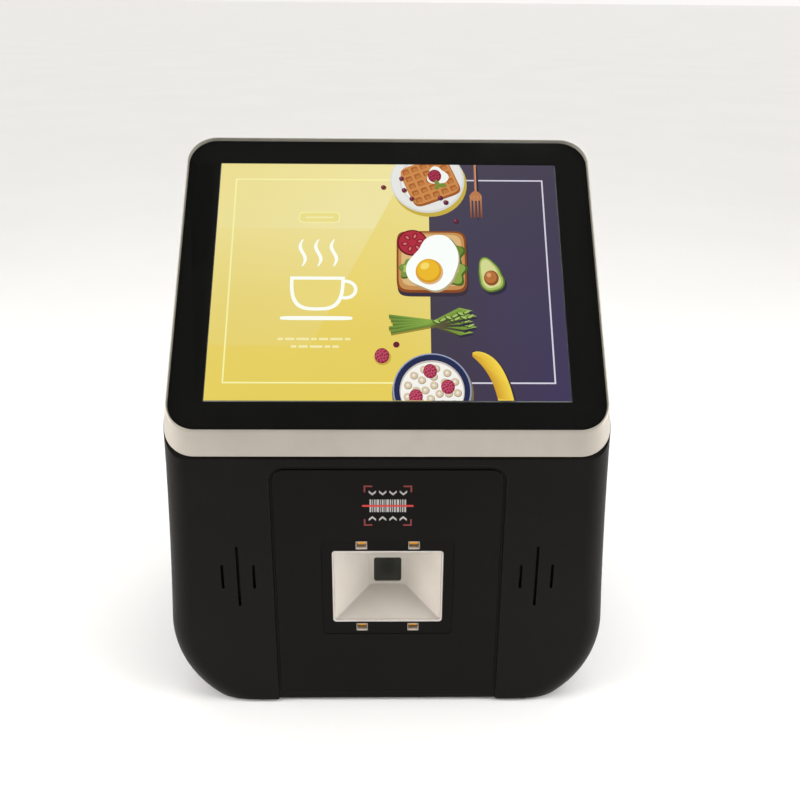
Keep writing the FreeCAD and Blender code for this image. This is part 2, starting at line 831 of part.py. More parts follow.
def ports():
    save("usb_port_left", usb_port(usb_places[0]))
    save("usb_port_right", usb_port(usb_places[1]))
    save("lan_port", lan_port())

    video = port_body(video_x, video_width, video_height, 11.0)
    half = video_width / 2 - 0.5
    front = port_face_y + 1
    video = video.cut(box(video_x - half, video_x + half, port_face_y - 8.0, front,
                          board_high + 0.9, board_high + video_height - 0.9))
    half = half - tongue_gap
    video = video.fuse(box(video_x - half, video_x + half, port_face_y - 8.5, port_face_y - 1,
                           board_high + 2.6, board_high + 3.5))
    save("video_port", single(video.removeSplitter()))

    inlet = port_body(inlet_x, inlet_width, inlet_height, 14.0)
    middle = Vector(inlet_x, port_face_y, board_high + inlet_middle)
    inlet = inlet.cut(rod(inlet_bore, middle - backward * 9.5, middle + backward))
    inlet = inlet.fuse(rod(inlet_pin, middle - backward * 10, middle - backward * 0.8))
    save("power_inlet", single(inlet.removeSplitter()))


def port_plate():
    """Steel plate inside the rear cover's window, with a hole for each port and the button."""
    left = port_window_left - 5.0
    right = port_window_right + 5.0
    y0 = port_plate_y
    y1 = y0 + port_plate_thickness
    plate = box(left, right, y0, y1, board_high + 0.3, port_window_high + 4.0)
    gap = fit_gap
    holes = [(x, usb_width, usb_height) for x in usb_places]
    holes.append((lan_x, lan_width, lan_height))
    holes.append((video_x, video_width, video_height))
    holes.append((inlet_x, inlet_width, inlet_height))
    for x, width, height in holes:
        plate = plate.cut(box(x - width / 2 - gap, x + width / 2 + gap, y0 - 5, y1 + 5,
                              board_high, board_high + height + gap))
    plate = plate.cut(rod(button_radius + gap, Vector(button_x, y0 - 5, button_z),
                          Vector(button_x, y1 + 5, button_z)))
    return single(plate)


def button_pieces():
    """Power button, its return spring and the switch that it presses."""
    flange_back = port_plate_y - fit_gap - 1.0
    tip = switch_front - 1.2
    cap_end = port_face_y + 0.6
    button = rod(button_radius + 1.0, Vector(button_x, flange_back, button_z),
                 Vector(button_x, flange_back + 1.0, button_z))
    cap = rod(button_radius, Vector(button_x, flange_back + 0.5, button_z),
              Vector(button_x, cap_end, button_z))
    rim = [e for e in cap.Edges if e.BoundBox.YMin > cap_end - 1e-6]
    cap = cap.makeFillet(0.5, rim[:1])
    stem = rod(stem_radius, Vector(button_x, tip, button_z),
               Vector(button_x, flange_back + 0.5, button_z))
    save("power_button", joined(button, cap, stem))

    switch = box(button_x - 5.0, button_x + 5.0, switch_front - 9.0, switch_front,
                 board_high, button_z + 4.5)
    bore = rod(stem_radius + stem_gap, Vector(button_x, tip - button_travel - 0.5, button_z),
               Vector(button_x, switch_front + 1, button_z))
    save("power_switch", single(switch.cut(bore)))

    room = flange_back - switch_front - 0.1
    wire = 0.22
    middle_radius = stem_radius + 0.75
    turns = 3.5
    pitch = (room - 2 * wire) / turns
    path = Part.makeHelix(pitch, pitch * turns, middle_radius)
    ring = Part.Wire(Part.makeCircle(wire, Vector(middle_radius, 0, 0), Vector(0, 1, 0)))
    spring = Part.Wire(path).makePipeShell([ring], True, True)
    spring = moved_to(spring, Vector(button_x, flange_back - 0.05 - wire, button_z),
                      FreeCAD.Rotation(Vector(1, 0, 0), 90))
    save("button_spring", single(spring))


# ---------------------------------------------------------------- scanner


def scanner_fascia():
    """Flat panel in the front's recess, with a flange behind the shell and the scan hole."""
    gap = fit_gap * 0.8
    face_level = -panel_sink
    back = face_level - panel_thickness
    panel = face(rounded(
        -(panel_half_width - gap), panel_half_width - gap, -(panel_bottom - gap), -(panel_top + gap),
        panel_radius - gap, back, face_level,
    ))
    rim = [e for e in panel.Edges if all(abs(height_on_face(v.Point) - face_level) < 1e-4
                                         for v in e.Vertexes)]
    panel = panel.makeFillet(0.5, rim)
    flange_back = -wall - 0.1 - flange_thickness
    flange = face_block(
        panel_half_width + flange_lap, panel_top - 3.0, panel_bottom + 1.6, 5.0,
        flange_back, -wall - 0.1,
    )
    inner = face_block(
        panel_half_width - 4.0, panel_top + 4.0, panel_bottom - 4.0, 4.0, flange_back - 1, back,
    )
    panel = panel.fuse(flange)
    for x, down in fascia_screw_places():
        low, high = sorted((x, math.copysign(panel_half_width, x)))
        tab = face(rounded(low - 5.5 * (x < 0), high + 5.5 * (x > 0), -down - 5.5, -down + 5.5,
                           2.0, flange_back, -wall - 0.1))
        panel = panel.fuse(tab).cut(face_rod(3.0 + snug_gap, x, down, -20.0, -wall + 0.2))
    panel = panel.cut(inner)
    hole = face_block(
        frame_half_width + snug_gap, frame_top - snug_gap, frame_bottom + snug_gap,
        frame_radius + snug_gap, -20.0, 5.0,
    )
    return single(panel.cut(hole).removeSplitter())


def height_on_face(point):
    """How far a point stands out of the front face."""
    out = Vector(0, -math.cos(lean), math.sin(lean))
    return (point - lip_point).dot(out)


frame_level = -panel_sink - frame_sink
frame_back = -panel_sink - panel_thickness
clip_back = frame_back - 1.2
sleeve_front = frame_level - sleeve_sink
pane_back = sleeve_front - 0.4 - pane_thickness
funnel_front = clip_back - 0.05
led_front = clip_back - 0.1
led_back = led_front - 0.9
led_board_back = led_back - 1.0
led_downs = (
    (frame_top, frame_top + led_window_height),
    (frame_bottom - 7.4, frame_bottom - 1.8),
)


def opening_block(margin, out0, out1):
    """A block as large as the scanner's opening with a margin round it."""
    return face_block(
        opening_half_width + margin, scan_middle - opening_half_height - margin,
        scan_middle + opening_half_height + margin, opening_radius + margin, out0, out1,
    )


def scan_frame():
    """Black plate set flush in the panel, with lamp windows and the scanner's opening."""
    plate = face_block(frame_half_width, frame_top, frame_bottom, frame_radius, frame_back, frame_level)
    clip = face_block(
        frame_half_width + 3.5, frame_top - 3.5, frame_bottom + 3.5, frame_radius, clip_back, frame_back,
    )
    plate = plate.fuse(clip)
    for x in (-22.5, 22.5):
        for low, high in led_downs:
            middle = (low + high) / 2
            plate = plate.fuse(face_rod(1.2, x, middle, led_back, clip_back + 0.2))
    plate = plate.cut(opening_block(snug_gap, -20.0, 5.0))
    for x in (-led_spacing / 2, led_spacing / 2):
        for low, high in led_downs:
            plate = plate.cut(face_block(led_window_width / 2, low + 0.1, high, 0.4, -20.0, 5.0, x))
    return single(plate.removeSplitter())


def scan_window():
    """Clear pane that rests on a ledge inside the reflector's sleeve and keeps dust out."""
    return opening_block(-sleeve_wall - snug_gap, pane_back, pane_back + pane_thickness)


def scan_reflector():
    """White moulded funnel that spreads light in front of the camera, with mounting posts."""

    def rim(half_width, half_height, radius, level):
        return outline(-half_width, half_width, -scan_middle - half_height,
                       -scan_middle + half_height, radius, level)

    def sleeve(inset, low, high):
        return rounded(
            -opening_half_width + inset, opening_half_width - inset,
            -scan_middle - opening_half_height + inset, -scan_middle + opening_half_height - inset,
            opening_radius - inset, low, high,
        )

    rear = -funnel_depth
    ledge = sleeve_wall + 0.5
    inner = Part.makeLoft([
        rim(funnel_half_width, funnel_half_height, 1.5, rear + funnel_end),
        rim(opening_half_width - ledge, opening_half_height - ledge, opening_radius - 0.9, pane_back),
    ], True, True)
    outer = Part.makeLoft([
        rim(funnel_half_width + funnel_wall, funnel_half_height + funnel_wall, 2.5, rear),
        rim(opening_half_width, opening_half_height, opening_radius, funnel_front),
    ], True, True)
    funnel = outer.fuse(rounded(
        -opening_half_width - 6.5, opening_half_width + 6.5, -scan_middle - opening_half_height - 0.4,
        -scan_middle + opening_half_height + 0.4, 1.0, funnel_front - 1.8, funnel_front,
    ))
    funnel = funnel.fuse(sleeve(0.0, funnel_front - 0.5, sleeve_front))
    post_x = opening_half_width + 3.2
    for x in (-post_x, post_x):
        post = rod(3.0, Vector(x, -scan_middle, rear - 2.0), Vector(x, -scan_middle, funnel_front - 0.5))
        funnel = funnel.fuse(post)
    funnel = funnel.cut(inner).cut(sleeve(sleeve_wall, pane_back, sleeve_front + 1.0))
    funnel = funnel.cut(rounded(
        -camera_half_width, camera_half_width, -scan_middle - camera_half_height,
        -scan_middle + camera_half_height, camera_radius, rear - 1.0, rear + 2.0,
    ))
    for x in (-post_x, post_x):
        hole = rod(1.0, Vector(x, -scan_middle, rear - 3.0), Vector(x, -scan_middle, rear + 8.0))
        funnel = funnel.cut(hole)
    return single(face(funnel).removeSplitter())


def scan_engine():
    """Camera housing with ears, its dark window, lens barrel and the screws that hold it."""
    rear = -funnel_depth
    post_x = opening_half_width + 3.2
    window = face_block(
        camera_half_width, scan_middle - camera_half_height, scan_middle + camera_half_height,
        camera_radius, rear - 1.0, rear,
    )
    save("camera_window", window)

    case_front = rear - 1.0
    case = rounded(-19.0, 19.0, -scan_middle - 15.0, -scan_middle + 15.0, 1.5,
                   case_front - 24.0, case_front)
    ear_front = rear - 2.0
    ears = rounded(-post_x - 4.5, post_x + 4.5, -scan_middle - 5.0, -scan_middle + 5.0, 2.0,
                   ear_front - 2.0, ear_front)
    rim = rounded(-funnel_half_width, funnel_half_width, -scan_middle - funnel_half_height + 0.1,
                  -scan_middle + funnel_half_height - 0.1, 1.4, case_front - 0.5, rear - 0.05)
    seat = rounded(-camera_half_width - snug_gap, camera_half_width + snug_gap,
                   -scan_middle - camera_half_height - snug_gap,
                   -scan_middle + camera_half_height + snug_gap, 1.7, case_front, rear + 5.0)
    case = case.fuse(ears).fuse(rim).cut(seat)
    middle = Vector(0, -scan_middle, 0)
    case = case.cut(rod(5.3, middle + upward * (case_front - 10.0), middle + upward * (rear + 5)))
    for x in (-post_x, post_x):
        case = case.cut(rod(1.3, Vector(x, -scan_middle, -60), Vector(x, -scan_middle, 0)))
    save("scan_engine", single(face(case).removeSplitter()))

    lens = rod(5.0, middle + upward * (case_front - 10.0), middle + upward * (case_front - 1.0))
    bowl = Part.makeSphere(9.0, middle + upward * (case_front + 6.5))
    save("camera_lens", single(face(lens.cut(bowl))))

    turn = FreeCAD.Rotation(Vector(1, 0, 0), 90.0 - face_lean)
    inward = turn.multVec(Vector(0, 0, -1))
    screws = []
    for x in (-post_x, post_x):
        seat_point = lip_point + turn.multVec(Vector(x, -scan_middle, ear_front - 2.0))
        screws.append(set_screw(7.0, seat_point, inward, shank=1.0))
    save("engine_screws", *screws)


def scan_lamps():
    """Four lamps on two narrow boards, above and below the scanner's opening."""
    boards = []
    lamps = []
    for low, high in led_downs:
        middle = (low + high) / 2
        boards.append(face(box(-26.0, 26.0, -middle - 2.6, -middle + 2.6, led_board_back, led_back)))
        for x in (-led_spacing / 2, led_spacing / 2):
            lamps.append(face(box(x - 2.85, x + 2.85, -middle - 1.5, -middle + 1.5, led_back, led_front)))
    save("lamp_boards", *boards)
    save("scan_lamps", *lamps)


def lamp_wells():
    """White wells that line the lamp windows, open over the lamps, with a ledge below them."""
    wells = []
    half = led_window_width / 2 - snug_gap
    rear = led_front + 0.05
    front = frame_level - well_sink
    for x in (-led_spacing / 2, led_spacing / 2):
        for low, high in led_downs:
            top = low + 0.1 + snug_gap
            well = face_block(half, top, high - snug_gap, 0.3, rear, front, x)
            mouth = face_block(half - well_wall, top + well_wall, (low + high) / 2 + 1.6, 0.2,
                               rear - 1.0, front + 1.0, x)
            wells.append(single(well.cut(mouth)))
    save("lamp_wells", *wells)


def chevron(x, down, way):
    """A small printed mark that points down the face, or up it."""
    arm = 2.1
    rise = 1.8 * way
    half_line = 0.65
    points = [
        Vector(x - arm, -down + rise / 2 + half_line, -panel_sink),
        Vector(x, -down - rise / 2 + half_line, -panel_sink),
        Vector(x + arm, -down + rise / 2 + half_line, -panel_sink),
        Vector(x + arm, -down + rise / 2 - half_line, -panel_sink),
        Vector(x, -down - rise / 2 - half_line, -panel_sink),
        Vector(x - arm, -down + rise / 2 - half_line, -panel_sink),
    ]
    flat = Part.Face(Part.makePolygon(points + points[:1]))
    return face(flat.extrude(upward * ink))


def scan_symbol():
    """Printed symbol over the scanner: bars, four corner brackets and a beam across."""
    level = -panel_sink
    low = symbol_middle - symbol_half_height
    high = symbol_middle + symbol_half_height
    brackets = []
    for side in (-1, 1):
        for edge, inward in ((low, 1), (high, -1)):
            x0, x1 = sorted((side * symbol_half_width, side * (symbol_half_width - symbol_arm)))
            x2, x3 = sorted((side * symbol_half_width, side * (symbol_half_width - symbol_line)))
            d0, d1 = sorted((edge, edge + inward * symbol_line))
            d2, d3 = sorted((edge, edge + inward * symbol_arm * 0.85))
            arm = box(x0, x1, -d1, -d0, level, level + ink)
            leg = box(x2, x3, -d3, -d2, level, level + ink)
            brackets.append(face(joined(arm, leg)))
    save("symbol_brackets", *brackets)

    bar_half_height = 4.0
    widths = (1.0, 0.5, 0.8, 1.4, 0.5, 1.0, 0.5, 1.4, 0.8, 0.5, 1.0, 1.4, 0.5, 0.8, 1.0)
    space = (2 * 10.6 - sum(widths)) / (len(widths) - 1)
    bars = []
    x = -10.6
    for width in widths:
        bars.append(face(box(x, x + width, -symbol_middle - bar_half_height,
                             -symbol_middle + bar_half_height, level, level + ink)))
        x += width + space
    for place in range(4):
        for way in (-1, 1):
            bars.append(chevron((place - 1.5) * mark_pitch, symbol_middle - way * mark_row, way))
    save("symbol_bars", *bars)

    beam = face_block(symbol_half_width + 1.0, symbol_middle - 0.6, symbol_middle + 0.6, 0.6,
                      level + ink, level + 2 * ink)
    save("symbol_beam", beam)


# ---------------------------------------------------------------- speakers


def speakers():
    """Two oval speakers behind the slots, each with a gasket, basket, cone and magnet."""
    half = 11.5
    reach = slot_long / 2 + 1.8
    low = speaker_middle - reach
    high = speaker_middle + reach
    screws = []
    turn = FreeCAD.Rotation(Vector(1, 0, 0), 90.0 - face_lean)
    inward = turn.multVec(Vector(0, 0, -1))
    for side, name in ((-1, "left"), (1, "right")):
        x = side * speaker_place
        front = -wall
        gasket = face_block(half, low, high, 9.0, front - 1.0, front, x)
        gasket = gasket.cut(face_block(half - 1.2, low + 1.2, high - 1.2, 8.0, -20, 5, x))
        save(f"speaker_gasket_{name}", single(gasket))

        basket = face_block(half, low, high, 9.0, front - 8.0, front - 1.0, x)
        ears = face_block(3.6, low - 7.2, high + 7.2, 3.0, front - 3.7, front - 2.6, x)
        basket = basket.fuse(ears)
        basket = basket.cut(face_block(half - 1.2, low + 1.2, high - 1.2, 8.0, front - 6.8, 5, x))
        for place, down in speaker_screw_places():
            if place * side > 0:
                basket = basket.cut(face_rod(1.3, place, down, -20, 5))
        save(f"speaker_basket_{name}", single(basket.removeSplitter()))

        cone = face_block(half - 1.2, low + 1.2, high - 1.2, 8.0, front - 4.0, front - 3.4, x)
        save(f"speaker_cone_{name}", cone)
        save(f"speaker_magnet_{name}", face_rod(8.5, x, speaker_middle, front - 13.0, front - 8.0))
    for x, down in speaker_screw_places():
        seat = lip_point + turn.multVec(Vector(x, -down, -wall - 3.7))
        screws.append(set_screw(3.6, seat, inward, shank=1.1))
    for x, down in fascia_screw_places():
        seat = lip_point + turn.multVec(Vector(x, -down, -wall - flange_thickness - 0.1))
        screws.append(set_screw(2.4, seat, inward, head_radius=4.2, shank=1.1))
    save("front_screws", *screws)


# ---------------------------------------------------------------- ribbon cables

ribbon_x = 8.0
ribbon_y = 22.0
scan_ribbon_x = 0.0
scan_ribbon_y = -22.0
ribbon_thickness = 0.4


def strip(points, half_width, middle):
    """A flat cable: a band of even thickness along points given as y and z."""
    half = ribbon_thickness / 2
    sides = ([], [])
    for i, (y, z) in enumerate(points):
        directions = []
        if i:
            directions.append(Vector(0, y - points[i - 1][0], z - points[i - 1][1]).normalize())
        if i < len(points) - 1:
            directions.append(Vector(0, points[i + 1][0] - y, points[i + 1][1] - z).normalize())
        normals = [Vector(0, -d.z, d.y) for d in directions]
        mitre = normals[0] if len(normals) == 1 else (normals[0] + normals[1]).normalize()
        reach = half / mitre.dot(normals[0])
        sides[0].append(Vector(middle - half_width, y, z) + mitre * reach)
        sides[1].append(Vector(middle - half_width, y, z) - mitre * reach)
    rim = sides[0] + sides[1][::-1]
    return Part.Face(Part.makePolygon(rim + rim[:1])).extrude(Vector(2 * half_width, 0, 0))


def ribbons():
    turn = FreeCAD.Rotation(Vector(1, 0, 0), screen_tilt)
    level = -band_thickness - bracket_thickness - 1.2 - 2.4
    plug = picture_point + turn.multVec(Vector(0, 72.0, level))
    below = picture_point + turn.multVec(Vector(0, 72.0, level - 6.0))
    low = board_high + 4.0
    save("display_ribbon", strip(
        [(ribbon_y, low), (ribbon_y, below.z - 20.0), (below.y, below.z), (plug.y, plug.z)],
        11.0, ribbon_x,
    ))
    turn = FreeCAD.Rotation(Vector(1, 0, 0), 90.0 - face_lean)
    start = lip_point + turn.multVec(Vector(0, -scan_middle, -funnel_depth - 1.0 - 24.0))
    away = start + turn.multVec(Vector(0, 0, -5.0))
    save("scanner_ribbon", strip(
        [(start.y, start.z), (away.y, away.z), (scan_ribbon_y, away.z - 22.0), (scan_ribbon_y, low)],
        6.0, scan_ribbon_x,
    ))


# ---------------------------------------------------------------- build

save("display_bezel", display_bezel())
display_stack()
save("front_shell", front_shell())
save("rear_cover", rear_cover())
save("cover_screws", *cover_screws())
base_pieces()
main_board()
ports()
save("port_plate", port_plate())
button_pieces()
save("scanner_fascia", scanner_fascia())
save("scan_frame", scan_frame())
save("scan_window", scan_window())
save("scan_reflector", scan_reflector())
scan_engine()
scan_lamps()
lamp_wells()
scan_symbol()
speakers()
ribbons()
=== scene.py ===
import math

import bmesh
import bpy
from mathutils import Matrix, Vector


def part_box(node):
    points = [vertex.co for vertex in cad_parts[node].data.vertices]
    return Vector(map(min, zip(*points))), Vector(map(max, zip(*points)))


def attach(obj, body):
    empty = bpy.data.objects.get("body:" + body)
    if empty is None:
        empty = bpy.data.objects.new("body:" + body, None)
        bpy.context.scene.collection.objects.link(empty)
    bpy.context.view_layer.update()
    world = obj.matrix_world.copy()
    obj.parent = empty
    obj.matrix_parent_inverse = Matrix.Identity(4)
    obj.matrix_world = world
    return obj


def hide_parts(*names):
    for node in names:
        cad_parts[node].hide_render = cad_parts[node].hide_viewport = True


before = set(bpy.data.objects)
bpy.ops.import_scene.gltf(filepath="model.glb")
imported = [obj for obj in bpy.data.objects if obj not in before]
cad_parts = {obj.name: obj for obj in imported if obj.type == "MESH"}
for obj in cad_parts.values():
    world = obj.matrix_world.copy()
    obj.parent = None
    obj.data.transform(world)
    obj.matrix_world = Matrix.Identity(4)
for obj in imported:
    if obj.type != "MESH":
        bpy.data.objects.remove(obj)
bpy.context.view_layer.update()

# ---------------------------------------------------------------- body shells
# Front shell, rear cover, base plate and the frame round the ports: injection-moulded black ABS
# with a fine spark-eroded texture. They are screwed together from the back and from below.

MM = 0.001
UPRIGHT = (0.0, 0.0, 0.0)
WITH_SCREEN = (-math.radians(45.0), 0.0, 0.0)  # turns a pattern to lie in the tilted display


def linear(code):
    """A linear colour from a hex code."""
    parts = [int(code[place : place + 2], 16) / 255 for place in (0, 2, 4)]
    bent = [part / 12.92 if part <= 0.04045 else ((part + 0.055) / 1.055) ** 2.4 for part in parts]
    return (*bent, 1.0)


def add(tree, kind, inputs=None, **settings):
    """Adds a node. Inputs are numbers, colours or the sockets that feed them."""
    made = tree.nodes.new(kind)
    for name, value in settings.items():
        setattr(made, name, value)
    for name, value in (inputs or {}).items():
        if isinstance(value, bpy.types.NodeSocket):
            tree.links.new(value, made.inputs[name])
        else:
            made.inputs[name].default_value = value
    return made


def new_material(name):
    made = bpy.data.materials.new(name)
    made.use_nodes = True
    made.node_tree.nodes.clear()
    return made, made.node_tree


def placed(tree, turn=UPRIGHT, stretch=(1.0, 1.0, 1.0)):
    """Object coordinates in millimetres, turned and then stretched."""
    spot = add(tree, "ShaderNodeTexCoord").outputs["Object"]
    turned = add(tree, "ShaderNodeMapping", {"Vector": spot, "Rotation": turn})
    scale = tuple(part / MM for part in stretch)
    inputs = {"Vector": turned.outputs["Vector"], "Scale": scale}
    return add(tree, "ShaderNodeMapping", inputs).outputs["Vector"]


def speckle(tree, where, across, detail=2.0):
    """Noise with spots of about that many millimetres, from 0 to 1."""
    inputs = {"Vector": where, "Scale": 1.0 / across, "Detail": detail, "Roughness": 0.6}
    return add(tree, "ShaderNodeTexNoise", inputs).outputs["Fac"]


def spread(tree, value, low, high, start=0.3, end=0.7):
    """Takes start..end of a value to low..high."""
    inputs = {"Value": value, "From Min": start, "From Max": end, "To Min": low, "To Max": high}
    return add(tree, "ShaderNodeMapRange", inputs).outputs["Result"]


def between(tree, share, first, second):
    inputs = {"Fac": share, "Color1": first, "Color2": second}
    return add(tree, "ShaderNodeMixRGB", inputs).outputs["Color"]


def finished(made, inputs):
    """Closes a material with its one shader."""
    shader = add(made.node_tree, "ShaderNodeBsdfPrincipled", inputs)
    add(made.node_tree, "ShaderNodeOutputMaterial", {"Surface": shader.outputs["BSDF"]})
    return made


def surface(name, colours, rough, grain, relief, patch=28.0, turn=UPRIGHT, stretch=(1.0, 1.0, 1.0),
            constants=None):
    """A finish from one shader: two close colours in broad patches, a fine grain raised by that many
    millimetres, and roughness that runs over the two given values."""
    made, tree = new_material(name)
    where = placed(tree, turn, stretch)
    broad = speckle(tree, where, patch, 3.0)
    fine = speckle(tree, where, grain)
    colour = between(tree, spread(tree, broad, 0.0, 1.0), linear(colours[0]), linear(colours[1]))
    worn = add(tree, "ShaderNodeMath", {0: broad, 1: fine}, operation="MULTIPLY").outputs[0]
    bump = add(tree, "ShaderNodeBump", {"Height": fine, "Distance": relief * MM})
    inputs = {
        "Base Color": colour,
        "Roughness": spread(tree, worn, rough[0], rough[1], 0.12, 0.42),
        "Normal": bump.outputs["Normal"],
    }
    inputs.update(constants or {})
    return finished(made, inputs)


def coat(finish, *nodes):
    """Gives these CAD nodes that finish."""
    for name in nodes:
        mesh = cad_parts[name].data
        mesh.materials.clear()
        mesh.materials.append(finish)


# Sparked mould texture: a soft, deep black without a hard highlight. The real grain is 0.1 mm, drawn at 0.6.
shell_black = surface(
    "black ABS, fine spark texture",
    ("0b0907", "0e0c09"),
    (0.38, 0.5),
    grain=0.6,
    relief=0.012,
    constants={"Specular IOR Level": 0.11},
)
coat(shell_black, "front_shell", "rear_cover", "base_plate")

# Powder-coated sheet steel round the ports: a little rougher and greyer than the plastic.
plate_black = surface(
    "black powder-coated steel",
    ("1a1a1a", "212120"),
    (0.5, 0.68),
    grain=0.8,
    relief=0.03,
    constants={"Specular IOR Level": 0.4},
)
coat(plate_black, "port_plate")

# ---------------------------------------------------------------- display
# A black-printed cover glass over a 10.4-inch panel, bonded with foam tape to a painted bezel.
# The glass is clear; the black border is ink on its underside, so it shines like the glass.

# Clear glass lets light through and mirrors more at low angles, on its outer faces only.
def clear_sheet(name, tint, rough, smear, index=1.45):
    made, tree = new_material(name)
    where = placed(tree)
    haze = spread(tree, speckle(tree, where, smear, 3.0), rough[0], rough[1])
    through = add(tree, "ShaderNodeBsdfTransparent", {"Color": linear(tint)})
    gloss = add(tree, "ShaderNodeBsdfGlossy", {"Color": (1, 1, 1, 1), "Roughness": haze})
    mirror = add(tree, "ShaderNodeFresnel", {"IOR": index}).outputs[0]
    outside = spread(tree, add(tree, "ShaderNodeNewGeometry").outputs["Backfacing"], 1.0, 0.0, 0.0, 1.0)
    share = add(tree, "ShaderNodeMath", {0: mirror, 1: outside}, operation="MULTIPLY").outputs[0]
    mixed = add(tree, "ShaderNodeMixShader", {0: share, 1: through.outputs[0], 2: gloss.outputs[0]})
    add(tree, "ShaderNodeOutputMaterial", {"Surface": mixed.outputs[0]})
    return made


cover_clear = clear_sheet("clear cover glass, faint finger haze", "fbfdfc", (0.03, 0.09), 34.0)
coat(cover_clear, "cover_glass")

# Screen-printed ink seen through the glass: even, deep, faintly warm black.
border_black = surface(
    "black screen-printed ink",
    ("090908", "0b0a09"),
    (0.4, 0.5),
    grain=1.1,
    relief=0.002,
    turn=WITH_SCREEN,
    constants={"Specular IOR Level": 0.02},
)
coat(border_black, "glass_border")

# Closed-cell foam: dull, open and slightly greyer.
foam_black = surface("black foam tape", ("131313", "1b1b1b"), (0.85, 0.97), grain=0.7, relief=0.06)
coat(foam_black, "glass_tape", "speaker_gasket_left", "speaker_gasket_right")

# Stamped steel back of the display panel: rolled lines run across it.
rolled_steel = surface(
    "zinc-plated sheet steel, rolled",
    ("8f9194", "a7a9ab"),
    (0.3, 0.46),
    grain=0.7,
    relief=0.008,
    turn=WITH_SCREEN,
    stretch=(0.08, 1.0, 1.0),
    constants={"Metallic": 1.0},
)
coat(rolled_steel, "display_module", "display_bracket")

glass_low, glass_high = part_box("cover_glass")
tilt = math.radians(45.0)
slope_up = Vector((0.0, math.cos(tilt), math.sin(tilt)))
slope_out = Vector((0.0, -math.sin(tilt), math.cos(tilt)))
glass_middle = (glass_low + glass_high) / 2
picture_width = 211.2
picture_height = 158.4
glass_top_margin = 16.3
glass_bottom_margin = 18.2
glass_thickness = 2.8
glass_span = picture_height + glass_top_margin + glass_bottom_margin
panel_depth = 3.4  # from the glass's face down to the panel's
picture_foot = glass_middle + slope_up * (glass_bottom_margin - glass_span / 2) * MM
picture_foot = picture_foot + slope_out * (glass_thickness / 2) * MM


def on_slope(x, up, out=0.0):
    """A point from the middle of the picture's lower edge on the face of the glass, in millimetres."""
    return picture_foot + Vector((x, 0.0, 0.0)) * MM + slope_up * up * MM + slope_out * out * MM


# The picture is a plain menu screen: two fields of colour, a thin frame, bars in place of words and
# a column of simple foods. Each flat shape lies one layer above the last.

shape_points = []
shape_faces = []
shape_colours = []
LAYER = 0.0015
PICTURE_LIFT = 0.04  # from the panel's face to the first layer


def clipped(points, edge, keep_above):
    """The part of an outline above or below a level."""
    kept = []
    for index, here in enumerate(points):
        before = points[index - 1]
        inside = (here[1] >= edge) == keep_above
        was_inside = (before[1] >= edge) == keep_above
        if inside != was_inside:
            share = (edge - before[1]) / (here[1] - before[1])
            kept.append((before[0] + (here[0] - before[0]) * share, edge))
        if inside:
            kept.append(here)
    return kept


def paint(points, *codes):
    """One flat shape in one colour, or in one colour for each corner."""
    inside = clipped(clipped(points, 0.0, True), picture_height, False)
    if len(inside) < 3:
        return
    level = PICTURE_LIFT - panel_depth + LAYER * len(shape_faces)
    first = len(shape_points)
    shape_points.extend(on_slope(x, up, level) for x, up in inside)
    shape_faces.append(range(first, len(shape_points)))
    tones = [linear(code) for code in codes]
    shape_colours.append([tones[index % len(tones)] for index in range(len(inside))])


def bar(left, right, low, high, *codes):
    paint([(left, low), (right, low), (right, high), (left, high)], *codes)


def disc(x, up, width, height=None, turn=0.0, corner=2.0):
    """An ellipse, or with a larger corner number a rounded square."""
    height = height or width
    points = []
    for step in range(40):
        angle = math.tau * step / 40
        cosine = math.cos(angle)
        sine = math.sin(angle)
        across = math.copysign(abs(cosine) ** (2 / corner), cosine) * width
        along = math.copysign(abs(sine) ** (2 / corner), sine) * height
        swing = math.radians(turn)
        px = across * math.cos(swing) - along * math.sin(swing)
        py = across * math.sin(swing) + along * math.cos(swing)
        points.append((x + px, up + py))
    return points


def blob(x, up, reaches, turn=0.0):
    """A smooth closed outline through these distances from its middle, at even angles."""
    count = len(reaches)
    points = []
    for step in range(count * 8):
        place = step / 8
        index = int(place)
        part = place - index
        ends = [reaches[(index + shift) % count] for shift in (-1, 0, 1, 2)]
        bend = ends[1] + 0.5 * part * (
            ends[2]
            - ends[0]
            + part * (2 * ends[0] - 5 * ends[1] + 4 * ends[2] - ends[3])
            + part * part * (3 * (ends[1] - ends[2]) + ends[3] - ends[0])
        )
        angle = math.tau * place / count + math.radians(turn)
        points.append((x + bend * math.cos(angle), up + bend * math.sin(angle)))
    return points


def moved(points, right, above):
    return [(x + right, up + above) for x, up in points]


def berry(x, up, radius, dark, light):
    """A raspberry: small round drupelets over a darker heart."""
    paint(disc(x, up, radius, radius * 1.12), dark)
    for ring, count in ((0.68, 9), (0.34, 5)):
        for step in range(count):
            angle = math.tau * (step + ring) / count
            px = x + radius * ring * math.cos(angle)
            py = up + radius * 1.1 * ring * math.sin(angle)
            paint(disc(px, py, radius * 0.25), light)
            paint(disc(px + radius * 0.07, py - radius * 0.07, radius * 0.15), dark)


